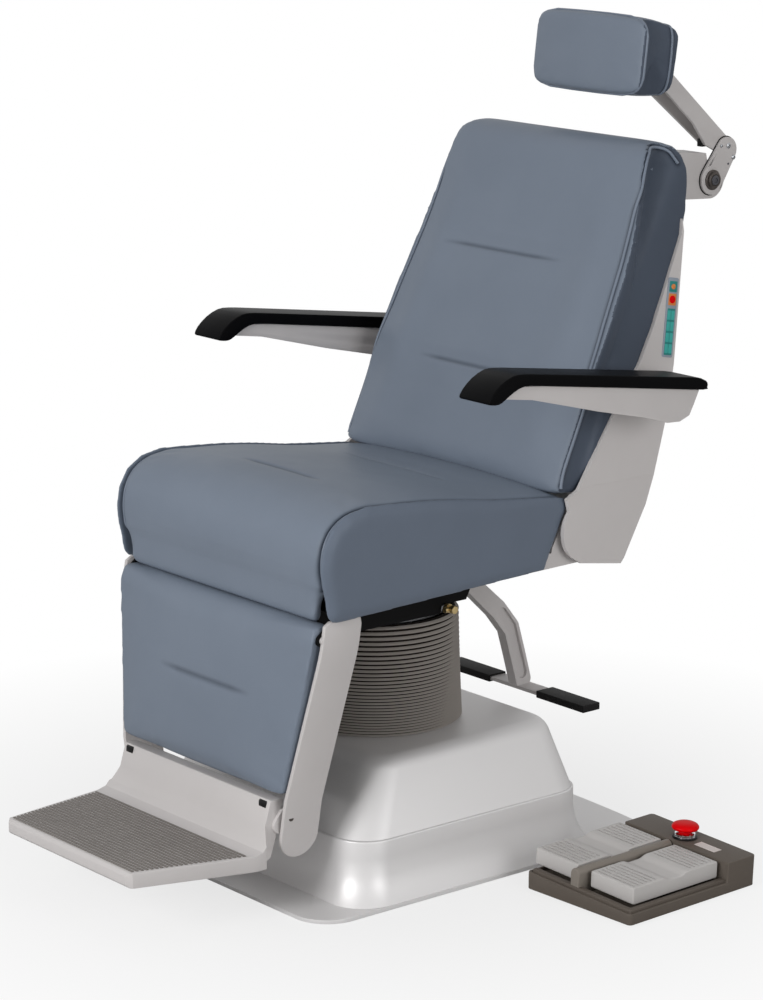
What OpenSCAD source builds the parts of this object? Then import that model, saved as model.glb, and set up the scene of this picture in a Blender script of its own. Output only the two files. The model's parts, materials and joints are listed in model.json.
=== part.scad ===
// Ophthalmic examination chair: hydraulic column, reclining seat, leg rest, headrest and foot control.
// Frame: +Z up, the front of the chair faces -Y, the origin is on the floor at the column axis.

/* [Base plate and housing] */
// Width of the base plate
plate_w = 560; // [480:5:640]
// Reach of the base plate in front of the column axis
plate_front = 330; // [290:5:380]
// Reach of the base plate behind the column axis
plate_rear = 378; // [340:5:420]
// Thickness of the base plate
plate_t = 6; // [4:0.5:10]
// Corner radius of the base plate
plate_corner = 60; // [30:5:90]
// Depth of the bowed rear edge of the base plate
plate_bow = 20; // [8:1:30]
// Width of the housing at its seam
housing_w = 512; // [470:2:530]
// Reach of the housing seam in front of the column axis
housing_front = 237; // [215:1:260]
// Reach of the housing seam behind the column axis
housing_rear = 230; // [215:1:250]
// Height of the housing seam above the floor
seam_z = 102; // [80:1:120]
// How far the lower housing spreads at its foot
foot_spread = 9; // [0:1:12]
// Width of the top face of the housing
top_w = 410; // [330:2:450]
// Reach of the top face in front of the column axis
top_front = 157; // [145:1:190]
// Reach of the top face behind the column axis
top_rear = 205; // [185:1:212]
// Height of the top face of the housing
housing_top = 208; // [190:1:225]
// Wall of the housing shells
housing_wall = 4; // [2.5:0.5:6]

/* [Column and bellows] */
// Outer radius of the bellows at its foot
bellows_foot_r = 140; // [134:1:145]
// Outer radius of the bellows at its top
bellows_top_r = 134; // [130:1:142]
// Height of the bellows in the pictured position
bellows_h = 178; // [160:1:210]
// Number of ribs of the bellows
bellows_ribs = 30; // [16:1:40]
// Depth of a bellows fold
fold_depth = 9; // [5:0.5:12]
// Wall of the bellows skin
bellows_wall = 2.5; // [1.5:0.1:4]
// Outer radius of the fixed column tube
tube_r = 75; // [70:1:84]
// Wall of the fixed column tube
tube_wall = 7; // [5:0.5:9]
// Outer radius of the rising lift tube
lift_r = 60; // [52:1:62]
// Wall of the rising lift tube
lift_wall = 8; // [5:0.5:10]
// Outer radius of the hydraulic barrel
barrel_r = 32; // [26:1:36]
// Radius of the hydraulic plunger
plunger_r = 20; // [14:1:22]

/* [Seat] */
// Width over the seat cushion
seat_w = 526; // [480:2:560]
// Depth of the seat cushion
seat_depth = 487; // [475:1:495]
// Reach of the seat cushion in front of the column axis
seat_front = 311; // [306:1:314]
// Height of the underside of the seat cushion
seat_base_z = 500; // [490:1:515]
// Thickness of the seat cushion at its crown
seat_pad_h = 127; // [100:1:140]
// Depth of the sewn channels in the cushions
channel_depth = 3; // [1:0.5:5]
// Thickness of the seat pan
pan_t = 12; // [8:1:16]
// Height of the lower edge of the front apron
apron_z = 459; // [450:1:470]
// Thickness of the seat side plates
seat_plate_t = 6; // [4:0.5:8]
// Thickness of the upholstered side panels
skirt_t = 7; // [5:0.5:7.5]

/* [Backrest] */
// Height of the recline axis
recline_z = 527; // [522:1:532]
// Place of the recline axis behind the column axis
recline_y = 205; // [200:1:212]
// Radius of the recline shaft
recline_shaft_r = 14; // [10:1:18]
// Width of the back cushion at its foot
back_w = 526; // [480:2:560]
// Width of the back cushion at its head, before its corners are rounded
back_top_w = 440; // [400:2:480]
// Rise of the back cushion from its foot to its top
back_rise = 508; // [480:1:540]
// Run of the back cushion from its foot to its top
back_run = 246; // [235:1:255]
// Radius of the upper corners of the back cushion
back_corner = 34; // [24:1:80]
// Thickness of the back side plates
back_plate_t = 7; // [4:0.5:7]
// Thickness of the back board and of the rear cover
board_t = 5; // [4:0.5:7]

/* [Armrests] */
// Gap between the back side plate and the armrest shell
arm_gap = 28; // [24:1:40]
// Width of the armrest cap
cap_w = 68; // [50:1:72]
// Length of the armrest cap
cap_l = 448; // [400:2:480]
// Height of the armrest pivot
arm_pivot_z = 722; // [712:1:732]
// Place of the armrest pivot behind the column axis
arm_pivot_y = 322; // [316:1:328]
// Radius of the armrest hub shaft
hub_shaft_r = 10; // [7:0.5:12]
// Width of the armrest shell under its cap
shell_w = 58; // [44:1:60]
// Wall of the armrest shell
shell_wall = 4; // [3:0.5:6]

/* [Leg rest and footrest] */
// Height of the leg rest axis
leg_axis_z = 434; // [432:1:436]
// Place of the leg rest axis in front of the column axis
leg_axis_y = 300; // [298:1:302]
// Radius of the leg rest pins
leg_pin_r = 6; // [5:0.5:7]
// Thickness of the leg arms
leg_arm_t = 7; // [5:0.5:8]
// Width of the blade of the leg arms
blade_w = 70; // [50:1:74]
// Thickness of the leg pad
leg_pad_t = 38; // [25:1:44]
// Gap between the leg pad and the leg arms, at its top
leg_pad_clear = 1.7; // [1:0.1:6]
// How much the leg pad narrows on each side down to its foot
leg_pad_draw = 47; // [46:1:60]
// Height of the footrest hinge
foot_axis_z = 154; // [150:1:158]
// Place of the footrest hinge in front of the column axis
foot_axis_y = 327; // [324:1:330]
// Reach of the footplate in front of the column axis
footplate_front = 594; // [560:1:620]
// How much the footplate narrows on each side towards its front
footplate_taper = 42; // [25:1:60]
// How far the footplate stands out past the foot of each leg arm
footplate_flare = 9; // [0:1:14]
// Number of tread strips on the footplate
tread_count = 24; // [12:1:26]

/* [Headrest] */
// Width of the headrest pad
head_w = 256; // [220:1:270]
// Height of the headrest pad
head_h = 122; // [105:1:130]
// Depth of the headrest pad
head_d = 76; // [60:1:80]
// Radius of the corners of the headrest pad
head_corner = 24; // [14:1:34]
// Width of the headrest arms
head_arm_w = 54; // [44:1:60]
// Thickness of the headrest link plates
link_t = 5; // [4:0.5:7]
// Place of the headrest knob behind the column axis
knob_y = 700; // [690:1:710]
// Height of the headrest knob
knob_z = 1003; // [998:1:1008]
// Radius of the headrest clamping knob
knob_r = 14; // [10:0.5:16]

/* [Foot lever] */
// Width over the grips of the foot lever
lever_w = 344; // [320:2:370]
// Thickness of the cast lever post
post_t = 20; // [14:1:24]
// Length of each rubber grip
grip_l = 114; // [95:1:120]

/* [Foot control] */
// Width of the foot control
control_w = 222; // [210:1:240]
// Length of the foot control
control_l = 274; // [266:1:300]
// Height of the rear deck of the foot control
deck_z = 56; // [53:1:60]
// Height of the front rim of the foot control
rim_z = 28; // [26:1:30]
// Place of the foot control to the side of the column axis
control_x = 445; // [425:1:480]
// Place of the foot control behind the column axis
control_y = 166; // [120:1:200]
// Turn of the foot control against the chair
control_yaw = 2.2; // [-5:0.1:5]
// Slope of the top of the foot control, down towards the person who works it
control_slope = 2.8; // [0:0.1:3.5]
// Width of one rocker pedal
pedal_w = 90; // [84:1:91]
// Length of one rocker pedal
pedal_l = 184; // [170:1:186]
// Diameter of the mushroom stop button
stop_d = 43; // [38:1:45]

/* [Hidden] */

// Shared clearances and overruns
overrun = 1;
run_gap = 0.05;
touch_gap = 0.3;
pad_gap = 1.8;
$fn = 64;
soft_fn = 32;

// Colours as the chair shows them
paint_grey = [0.78, 0.77, 0.77];
vinyl_blue = [0.43, 0.47, 0.53];
moulded_black = [0.07, 0.07, 0.08];
steel_grey = [0.62, 0.63, 0.65];
bellows_taupe = [0.40, 0.37, 0.34];
case_taupe = [0.38, 0.35, 0.33];
pedal_grey = [0.80, 0.79, 0.78];
signal_red = [0.86, 0.10, 0.10];
brass_gold = [0.78, 0.60, 0.30];

// Plate outline and housing details
housing_corner = 58;
top_corner = 50;
top_round = 18;
seam_step = 3;
seam_gap = 0.3;
bellows_hole_r = 118;
bolt_r = 6;
bolt_head_r = 10;
bolt_head_h = 7;
bolt_circle_r = 96;
column_flange_r = 108;
column_flange_t = 12;
tube_top = 300;
bush_l = 24;
bush_top_gap = 4;
bush_spacing = 52;

// Lift stage details
head_flange_r = 118;
head_flange_t = 10;
lift_foot = 80;
spigot_r = 30;
spigot_h = 52;
ring_inner_r = 70;
ring_outer_r = 96;
ring_t = 4;
barrel_wall = 6;
barrel_top = 310;
gland_h = 16;
plunger_foot = 130;
head_z = housing_top + bellows_h;
ring_z = head_z + head_flange_t;
turntable_z = ring_z + ring_t + touch_gap;

// Pump unit and control box inside the housing
tank_w = 170;
tank_l = 88;
tank_h = 104;
tank_y = 118;
tank_wall = 4;
pump_motor_r = 32;
pump_motor_l = 54;
box_w = 176;
box_l = 60;
box_h = 70;
box_y = 208;
box_wall = 3;
inlet_x = 110;
inlet_w = 48;
inlet_h = 30;
inlet_z = 40;
inlet_l = 28;
socket_w = 27;
socket_h = 20;
socket_depth = 18;
prong_w = 2;
prong_h = 4;
prong_l = 14;
prong_pitch = 7;

// Seat frame details
hub_r = 56;
hub_top = 444;
turntable_half = 150;
turntable_r = 118;
turntable_t = 8;
rail_x = 137;
rail_w = 13;
rail_front = 238;
rail_rear = 70;
rail_step = 10;
rail_rise = 14;
cross_l = 12;
front_cross_z = 440;
bracket_gap = 0.2;
bracket_t = 5.8;
bracket_x = seat_w / 2 - skirt_t - touch_gap - leg_arm_t - bracket_t - bracket_gap;
bracket_r = 10;
bracket_root_r = 16;
bracket_rear = 226;
ear_gap = 10.5;
ear_t = 6;
ear_r = 14;
lever_axis_y = 172;
lever_axis_z = 410;
lever_pin_r = 6;
pan_inset = 23;
pan_half = seat_w / 2 - pan_inset;
pan_rear = 130;
pan_front = seat_front - 27.3;
rail_top = seat_base_z - pan_t;
hose_y = 22;
hose_rise = 8;
hose_nut_r = 7;
hose_nut_l = 8;
hose_r = 4.5;
hose_l = 9;
hose_cap_r = 6;
hose_cap_l = 5;
apron_t = 20;
apron_front = seat_front - 7;
apron_draw = 9;
apron_lip = 5;
apron_lip_h = 6;
apron_top_half = pan_half;
apron_foot_half = apron_top_half - apron_draw;
seat_plate_x = seat_w / 2 - skirt_t - touch_gap - seat_plate_t;
seat_plate_drop = 34;
// Outline of the seat side plate round the recline axis, as shares of the back plate's round
seat_plate_shares = [[0, -1.059], [0.706, -0.529], [0.765, 0.059], [0.529, 0.647], [-0.255, 1.157],
    [-0.392, 1.196], [-0.431, 0.843], [-0.804, 0.176], [-1.157, -0.471], [-1.176, -0.608]];
// Side panel corners from the seat's front and from the recline axis, as shares of the apron's height
skirt_front_shares = [[0.122, 0], [0.22, -0.244], [0.366, -0.683], [0.634, -1]];
skirt_rear_shares = [[-1.927, -0.683], [-1.585, 0]];
seat_side_bulge = 8;
seat_half = seat_w / 2 - seat_side_bulge;
skirt_x = seat_w / 2 - skirt_t;

// Seat cushion profile: shares of its depth and height, crown weight and channel weight
seat_shares = [[0.03, 0.0, 0, 0], [0.005, 0.17, 0.3, 0], [0.0, 0.36, 0.6, 0], [0.01, 0.60, 1, 0],
    [0.043, 0.81, 1, 0], [0.10, 0.95, 1, 0], [0.175, 1.0, 1, 0], [0.215, 0.995, 1, 0],
    [0.24, 0.985, 1, 1], [0.265, 0.98, 1, 0], [0.42, 0.935, 1, 0], [0.55, 0.87, 1, 0],
    [0.68, 0.79, 1, 0], [0.705, 0.775, 1, 1], [0.73, 0.765, 1, 0], [0.86, 0.71, 1, 0],
    [0.95, 0.675, 1, 0], [0.99, 0.63, 1, 0], [1.0, 0.55, 0, 0], [0.96, 0.28, 0, 0],
    [0.92, 0.02, 0, 0], [0.89, 0.0, 0, 0], [0.66, 0.0, 0, 0], [0.36, 0.0, 0, 0]];
seat_crown = 8;

// Back cushion profile: front line, then rear line, as shares of its run and rise
back_foot_y = 150;
back_foot_z = 600;
back_shares = [[0.0, -0.004, 0, 0], [0.043, 0.05, 1, 0], [0.175, 0.20, 1, 0], [0.225, 0.27, 1, 0],
    [0.248, 0.295, 1, 1], [0.266, 0.32, 1, 0], [0.365, 0.41, 1, 0], [0.463, 0.51, 1, 0],
    [0.565, 0.61, 1, 0], [0.593, 0.64, 1, 1], [0.622, 0.67, 1, 0], [0.718, 0.79, 1, 0],
    [0.782, 0.89, 1, 0], [0.842, 0.96, 1, 0], [0.91, 0.993, 0, 0], [1.0, 1.0, 0, 0],
    [1.10, 0.985, 0, 0], [1.175, 0.94, 0, 0], [1.20, 0.89, 0, 0], [1.185, 0.82, 0, 0],
    [1.135, 0.72, 0, 0], [0.98, 0.565, 0, 0], [0.84, 0.445, 0, 0], [0.72, 0.345, 0, 0],
    [0.49, 0.19, 0, 0], [0.30, 0.07, 0, 0], [0.20, -0.01, 0, 0], [0.10, -0.012, 0, 0]];
back_crown = 12;
back_side_bulge = 4;
back_foot_corner = 16;
back_swell = 13;
back_foot_tuck = 6;
back_taper = (back_w - back_top_w) / 2 / back_rise;
back_lean = atan(back_taper);

// Back side plate outline: lower part as offsets from the recline axis, upper part as shares of the cushion
plate_clear = 3;
plate_inner_x = max(seat_w, back_w) / 2 + plate_clear;
arm_x = plate_inner_x + back_plate_t + arm_gap + shell_w / 2;
plate_bend_z = 596;
plate_round = 51;
plate_foot_z = 462;
plate_heel_y = 283;
plate_knee_y = 328;
plate_knee_z = 550;
plate_upper_shares = [[0.455, 0.192], [0.717, 0.345], [0.84, 0.445], [1.119, 0.718], [1.131, 0.765],
    [1.14, 0.726], [1.004, 0.32], [0.902, 0.137]];
plate_neck_y = 184;
cover_half = plate_inner_x - touch_gap;
board_inset = 7;
board_wide_rows = 4;

// Recline and leg drive
crank_x = 114;
crank_w = 12;
recline_crank_r = 60;
recline_swing = 50;
leg_ratio = 1.3;
drive_travel = 2 * recline_crank_r * sin(recline_swing / 2);
leg_swing = recline_swing * leg_ratio;
leg_crank_r = drive_travel / (2 * sin(leg_swing / 2));
drive_pin_r = 4;
slot_slack = 1.1;
slot_drop = 7.5;
slot_wall = 2.5;
drive_bar_t = 7;
drive_bar_h = 26;
recline_pin_y = recline_y + drive_travel / 2;
recline_pin_z = recline_z - recline_crank_r * cos(recline_swing / 2);
leg_pin_y = -leg_axis_y + drive_travel / 2;
leg_pin_z = leg_axis_z - leg_crank_r * cos(leg_swing / 2);
cylinder_x = 92;
cylinder_z = 456;
cylinder_r = 19;
cylinder_front = 205;
cylinder_l = 175;
rod_r = 8;
rod_l = 96;
rod_reach = 76;
drive_rise_z = 425;

// Keypad on the right back plate
keypad_w = 22;
keypad_l = 125;
keypad_t = 1.6;
keypad_tilt = 10;
keypad_mid_y = 392.5;
keypad_mid_z = 837;
key_t = 0.9;
key_w = 7;
key_l = 7.5;
key_rows = 5;
key_pitch = 11;
round_key_r = 5.5;

// Armrest cap and shell profiles: shares of the cap length, forward from its rear end, and of the cap height
cap_rear_y = 368;
cap_rear_z = 742;
cap_h = 72;
shell_lift = 0.68;
cap_shares = [[0.0, 0.05], [0.0, 0.16], [0.02, 0.24], [0.07, 0.325], [0.30, 0.52], [0.55, 0.735],
    [0.76, 0.925], [0.845, 0.995], [0.895, 0.99], [0.945, 0.86], [0.985, 0.66], [1.0, 0.50],
    [0.985, 0.455], [0.955, 0.445], [0.93, 0.51], [0.89, 0.65], [0.84, 0.735], [0.76, 0.68],
    [0.50, 0.44], [0.25, 0.215], [0.02, 0.01]];
shell_shares = [[0.03, 0.0], [0.055, -0.30], [0.075, -0.52], [0.12, -0.62], [0.18, -0.60],
    [0.27, -0.42], [0.50, -0.09], [0.80, 0.40], [0.92, 0.51], [0.885, 0.64], [0.845, 0.714],
    [0.76, 0.660], [0.50, 0.424], [0.25, 0.199]];
hub_flange_r = 17;

// Leg arm outline, below the bend where the blade leans inward
leg_bend_z = 416;
leg_lug_r = 14;
leg_lug_x = seat_w / 2 - skirt_t - touch_gap - leg_arm_t;
blade_top_y = 270;
blade_top_z = 427;
blade_knee_y = 306;
blade_knee_z = 178;
blade_foot_z = 121;
blade_draw = 52.7;
blade_foot_x = leg_lug_x - blade_draw;
blade_corner_y = 237;
blade_corner_z = 456;
blade_corner_r = 6;
blade_lean = atan((leg_lug_x + leg_arm_t / 2 - blade_foot_x) / (leg_bend_z - blade_foot_z));
leg_pad_top = leg_lug_x - leg_pad_clear;
leg_pad_foot = leg_pad_top - leg_pad_draw;
leg_pad_top_y = 318;
leg_pad_top_z = 454;
leg_pad_foot_y = 351;
leg_pad_foot_z = 193;
leg_pad_rise = leg_pad_top_z - leg_pad_foot_z;
leg_pad_run = leg_pad_foot_y - leg_pad_top_y;
leg_lean = atan(leg_pad_run / leg_pad_rise);
leg_shares = [[0.02, 0.02, 0.5, 0], [0.0, 0.12, 1, 0], [0.0, 0.28, 1, 0], [0.0, 0.42, 1, 0],
    [0.0, 0.49, 1, 0], [0.0, 0.51, 1, 1], [0.0, 0.53, 1, 0], [0.0, 0.60, 1, 0], [0.0, 0.74, 1, 0],
    [0.0, 0.86, 0.8, 0], [0.0, 0.94, 0.3, 0], [0.06, 0.975, 0, 0], [0.20, 0.995, 0, 0], [0.48, 1.0, 0, 0],
    [0.80, 0.995, 0, 0], [1.0, 0.975, 0, 0], [1.0, 0.80, 0, 0], [1.0, 0.40, 0, 0],
    [1.0, 0.015, 0, 0], [0.80, 0.0, 0, 0], [0.20, 0.0, 0, 0]];
leg_crown = 8;
leg_board_top = 418;
leg_notch_gap = 2.2;
leg_notch_half = bracket_x - leg_notch_gap;
leg_notch_z = 421;
leg_notch_skin = 5;
leg_notch_top = 441;

// Footrest profile, measured from the footplate's rear lower edge
footplate_rear_w = blade_foot_x + footplate_flare;
footplate_front_w = footplate_rear_w - footplate_taper;
foot_screw_r = 4.5;
foot_lug_r = 13;
foot_lug_t = 9;
foot_plate_z = 84.5;
foot_plate_t = 23.5;
foot_plate_rear = 395;
foot_toe_rise = 6.5;
foot_wall_t = 24;
foot_top_z = 182;
foot_top_y = 353;
foot_bend_y = 371;
foot_bend_z = 122;
tread_t = 1.4;
tread_w = 3.6;
tread_margin = 8;
tread_rear = 402;

// Headrest linkage
joint_y = 733;
joint_z = 1050;
joint_r = 22;
knob_plate_r = 25;
bracket_end_r = 32;
bracket_root_y = 452.25;
bracket_root_h = 92;
bracket_root_z = 978;
bracket_top_z = 1051;
bracket_wall = 6;
head_pin_r = 6;
tilt_y = 545;
tilt_z = 1214;
arm_depth = 30;
tilt_eye_r = 15;
tilt_eye_w = 24;
tilt_pin_r = 5;
head_front_y = 436;
head_foot_z = 1169;
head_lean = 7;
head_board_t = 5;
head_ear_t = 5;
head_ear_r = 10;
head_ear_l = 11;
board_width_share = 0.7;
board_low_share = 0.22;
board_high_share = 0.72;
head_crown = 10;
head_shares = [[0.02, 0.06, 1, 0], [0.0, 0.14, 1, 0], [0.0, 0.32, 1, 0], [0.0, 0.50, 1, 0], [0.0, 0.68, 1, 0],
    [0.0, 0.86, 1, 0], [0.02, 0.94, 1, 0], [0.12, 1.0, 0, 0], [0.45, 0.985, 0, 0], [0.82, 0.93, 0, 0],
    [0.96, 0.86, 0, 0], [1.0, 0.72, 0, 0], [0.98, 0.40, 0, 0], [0.95, 0.16, 0, 0], [0.85, 0.04, 0, 0],
    [0.50, 0.0, 0, 0], [0.12, 0.0, 0, 0]];
screw_r = 3.2;
screw_h = 2;
arm_wall = 6;
arm_web = 7;
bumper_y = 678;
bumper_l = 16;

// Foot lever outline
post_points = [[172, 410], [254, 335], [283, 299], [297, 252], [310, 206]];
post_half = 16;
post_eye_r = 14;
bar_y = 313;
bar_l = 37;
bar_t = 6;
bar_z = 191.5;
grip_wall = 3;
web_t = 8;

// Foot control details
case_wall = 3;
case_foot_h = 1;
case_foot_r = 8;
case_margin = 20;
deck_l = 62;
well_z = 20;
divider_w = 18;
divider_z = 48;
divider_x = -14;
pedal_right_x = 48;
pedal_left_x = -71;
pedal_y = -22;
pedal_foot_z = 31.7;
pedal_top_z = 55;
pedal_dip = 5;
pedal_dip_l = 22;
pedal_rib_w = 2;
pedal_rib_h = 0.8;
pedal_rib_pitch = 6;
pedal_rib_count = 5;
pedal_pin_r = 4;
pedal_pin_z = 39;
stop_x = -7;
stop_y = 102;
collar_r = 16;
collar_h = 9;
stem_r = 10;
stop_travel = 4;

// Catmull-Rom blend between b and c
function blend(a, b, c, d, t) =
    (2 * b + (c - a) * t + (2 * a - 5 * b + 4 * c - d) * t * t + (3 * b - a - 3 * c + d) * t * t * t) / 2;

// Closed smooth curve through control rows, with a number of steps per row
function smooth_loop(rows, steps) = [for (i = [0:len(rows) - 1]) for (k = [0:steps - 1])
    blend(rows[(i + len(rows) - 1) % len(rows)], rows[i], rows[(i + 1) % len(rows)],
        rows[(i + 2) % len(rows)], k / steps)];

// Rows of shares placed as real sizes: along Y by run, along Z by rise
function place_rows(rows, y0, run, z0, rise) =
    [for (r = rows) [y0 + r[0] * run, z0 + r[1] * rise, r[2], r[3]]];

// Outward unit normal of a clockwise loop at point i
function loop_normal(loop, i) = let (n = len(loop), a = loop[(i + n - 1) % n], b = loop[(i + 1) % n],
    d = [b[0] - a[0], b[1] - a[1]], l = norm(d)) [-d[1] / l, d[0] / l];

// Mean of the first two values of the rows
function loop_mid(loop) = let (s = [for (p = loop) 1]) [(loop * [1, 0, 0, 0]) * s / len(loop),
    (loop * [0, 1, 0, 0]) * s / len(loop)];

// Stations across a cushion, as shares of its half width
station_shares = [-1, -0.985, -0.93, -0.8, -0.6, -0.35, -0.1, 0.1, 0.35, 0.6, 0.8, 0.93, 0.985, 1];
function crown_share(u) = 1 - pow(abs(u), 2.2);
function channel_share(u, reach) = max(0, 1 - pow(abs(u) / reach, 4));

// Cushion lofted across the chair: side loop, half widths per loop point, crown, edge round and side bulge
module cushion(loop, halves, crown, edge, bulge, channel, reach) {
    n = len(loop);
    m = len(station_shares);
    mid = loop_mid(loop);
    normals = [for (i = [0:n - 1]) loop_normal(loop, i)];
    half_mid = halves * [for (h = halves) 1] / n;
    points = [for (u = station_shares) for (i = [0:n - 1]) let (
        lift = loop[i][2] * crown * crown_share(u) - loop[i][3] * channel * channel_share(u, reach)
            - edge * pow(abs(u), 24))
        [u * halves[i], loop[i][0] + normals[i][0] * lift, loop[i][1] + normals[i][1] * lift]];
    caps = [[-half_mid - bulge, mid[0], mid[1]], [half_mid + bulge, mid[0], mid[1]]];
    walls = [for (j = [0:m - 2]) for (i = [0:n - 1]) let (a = j * n + i, b = j * n + (i + 1) % n)
        each [[a, b, a + n], [b, b + n, a + n]]];
    ends = [for (i = [0:n - 1]) each [[n * m, (i + 1) % n, i],
        [n * m + 1, (m - 1) * n + i, (m - 1) * n + (i + 1) % n]]];
    polyhedron(points = concat(points, caps), faces = concat(walls, ends), convexity = 4);
}

// Profile in the YZ plane drawn out along X
module side(x0, x1) {
    translate([x0, 0, 0]) rotate([90, 0, 90]) linear_extrude(x1 - x0) children();
}

// Profile in the XZ plane drawn out along Y
module front(y0, y1) {
    translate([0, y1, 0]) rotate([90, 0, 0]) linear_extrude(y1 - y0) children();
}

// Round bar along X
module x_bar(x0, x1, y, z, r) {
    translate([x0, y, z]) rotate([0, 90, 0]) cylinder(r = r, h = x1 - x0);
}

// Round bar along Y
module y_bar(y0, y1, x, z, r) {
    translate([x, y1, z]) rotate([90, 0, 0]) cylinder(r = r, h = y1 - y0);
}

// The shape and its mirror image on the other side of the chair
module both_sides() {
    children();
    mirror([1, 0, 0]) children();
}

// Two discs joined by their outer tangents
module link_shape(p, rp, q, rq) {
    d = norm(q - p);
    along = (q - p) / d;
    across = [-along[1], along[0]];
    s = (rp - rq) / d;
    c = sqrt(1 - s * s);
    up = along * s + across * c;
    down = along * s - across * c;
    translate(p) circle(r = rp);
    translate(q) circle(r = rq);
    polygon([p + up * rp, q + up * rq, q + down * rq, p + down * rp]);
}

// Rectangle with round corners between two opposite corners
module round_rect(x0, y0, x1, y1, r) {
    translate([x0 + r, y0]) square([x1 - x0 - 2 * r, y1 - y0]);
    translate([x0, y0 + r]) square([x1 - x0, y1 - y0 - 2 * r]);
    for (x = [x0 + r, x1 - r]) for (y = [y0 + r, y1 - r]) translate([x, y]) circle(r = r);
}

// Block between two opposite corners
module block(a, b) {
    translate(a) cube(b - a);
}

// Corner posts of a tapering housing tier: foot and top rectangles as [half width, front, rear, corner radius]
module tier_posts(foot, foot_z, top, top_z, post_h) {
    for (s = [-1, 1]) for (v = [[foot, foot_z], [top, top_z - post_h]]) {
        translate([s * (v[0][0] - v[0][3]), -v[0][1] + v[0][3], v[1]])
            cylinder(r = v[0][3], h = post_h, $fn = soft_fn);
        translate([s * (v[0][0] - v[0][3]), v[0][2] - v[0][3], v[1]])
            cylinder(r = v[0][3], h = post_h, $fn = soft_fn);
    }
}

// Base plate and housing

module base_plate() {
    bow_r = (pow(plate_w / 2, 2) + pow(plate_bow, 2)) / (2 * plate_bow);
    color(paint_grey) difference() {
        linear_extrude(plate_t) intersection() {
            round_rect(-plate_w / 2, -plate_front, plate_w / 2, plate_rear, plate_corner);
            translate([0, plate_rear - bow_r]) circle(r = bow_r, $fn = 256);
        }
        bolt_places() translate([0, 0, -overrun]) cylinder(r = bolt_r, h = plate_t + 2 * overrun);
    }
}

module bolt_places() {
    for (a = [45:90:315]) rotate(a) translate([bolt_circle_r, 0, 0]) children();
}

module lower_housing() {
    foot = [housing_w / 2 + foot_spread, housing_front + foot_spread, housing_rear + foot_spread, housing_corner];
    top = [housing_w / 2, housing_front, housing_rear, housing_corner];
    inner_foot = [foot[0] - housing_wall, foot[1] - housing_wall, foot[2] - housing_wall,
        housing_corner - housing_wall];
    inner_top = [top[0] - housing_wall, top[1] - housing_wall, top[2] - housing_wall,
        housing_corner - housing_wall];
    color(paint_grey) difference() {
        hull() tier_posts(foot, plate_t, top, seam_z, overrun);
        hull() tier_posts(inner_foot, plate_t - overrun, inner_top, seam_z + overrun, overrun);
        inlet_opening();
    }
}

module upper_housing() {
    foot = [housing_w / 2 - seam_step, housing_front - seam_step, housing_rear - seam_step, housing_corner];
    shoulder = [top_w / 2 + top_round / 3, top_front + top_round / 3, top_rear + top_round / 3, top_corner];
    color(paint_grey) difference() {
        hull() {
            tier_posts(foot, seam_z + seam_gap, shoulder, housing_top - top_round + overrun, overrun);
            top_rounds(0);
        }
        hull() {
            tier_posts(shrink(foot), seam_z + seam_gap - overrun, shrink(shoulder),
                housing_top - top_round - housing_wall, overrun);
            top_rounds(housing_wall);
        }
        translate([0, 0, housing_top - top_round]) cylinder(r = bellows_hole_r, h = top_round + overrun);
    }
}

// Tier rectangle taken in by the housing wall
function shrink(v) = [v[0] - housing_wall, v[1] - housing_wall, v[2] - housing_wall, v[3] - housing_wall];

// Stacked discs that round the top edge of the upper housing, taken in by a wall
module top_rounds(wall) {
    for (a = [25, 55, 90]) for (s = [-1, 1]) for (y = [-top_front, top_rear - 2 * top_corner]) {
        translate([s * (top_w / 2 - top_corner), y + top_corner, housing_top - top_round + top_round * sin(a)
            - overrun - wall])
            cylinder(r = top_corner - top_round * (1 - cos(a)) - wall, h = overrun, $fn = soft_fn);
    }
}

module column_tube() {
    color(steel_grey) difference() {
        union() {
            translate([0, 0, plate_t]) cylinder(r = column_flange_r, h = column_flange_t);
            translate([0, 0, plate_t]) cylinder(r = tube_r, h = tube_top - plate_t);
        }
        translate([0, 0, plate_t - overrun]) cylinder(r = tube_r - tube_wall, h = tube_top + 2 * overrun);
        bolt_places() translate([0, 0, plate_t - overrun])
            cylinder(r = bolt_r, h = column_flange_t + 2 * overrun);
    }
}

module guide_bushes() {
    color(moulded_black) for (z = [tube_top - bush_top_gap - bush_l, tube_top - bush_top_gap - bush_l - bush_spacing])
        translate([0, 0, z]) difference() {
            cylinder(r = tube_r - tube_wall, h = bush_l);
            translate([0, 0, -overrun]) cylinder(r = lift_r + run_gap, h = bush_l + 2 * overrun);
        }
}

module column_bolts() {
    color(steel_grey) bolt_places() {
        translate([0, 0, plate_t + column_flange_t]) cylinder(r = bolt_head_r, h = bolt_head_h, $fn = 6);
        cylinder(r = bolt_r, h = plate_t + column_flange_t + overrun);
    }
}

module lift_barrel() {
    color(steel_grey) translate([0, 0, plate_t]) difference() {
        cylinder(r = barrel_r, h = barrel_top - plate_t);
        translate([0, 0, barrel_wall])
            cylinder(r = barrel_r - barrel_wall, h = barrel_top - plate_t - barrel_wall - gland_h);
        translate([0, 0, barrel_wall]) cylinder(r = plunger_r + run_gap, h = barrel_top);
    }
}

module pump_unit() {
    color(steel_grey) {
        translate([-tank_w / 2, tank_y, plate_t]) difference() {
            cube([tank_w, tank_l, tank_h]);
            translate([tank_wall, tank_wall, tank_wall])
                cube([tank_w - 2 * tank_wall, tank_l - 2 * tank_wall, tank_h - 2 * tank_wall]);
        }
        translate([tank_w / 4, tank_y + tank_l / 2, plate_t + tank_h]) cylinder(r = pump_motor_r, h = pump_motor_l);
    }
}

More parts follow.
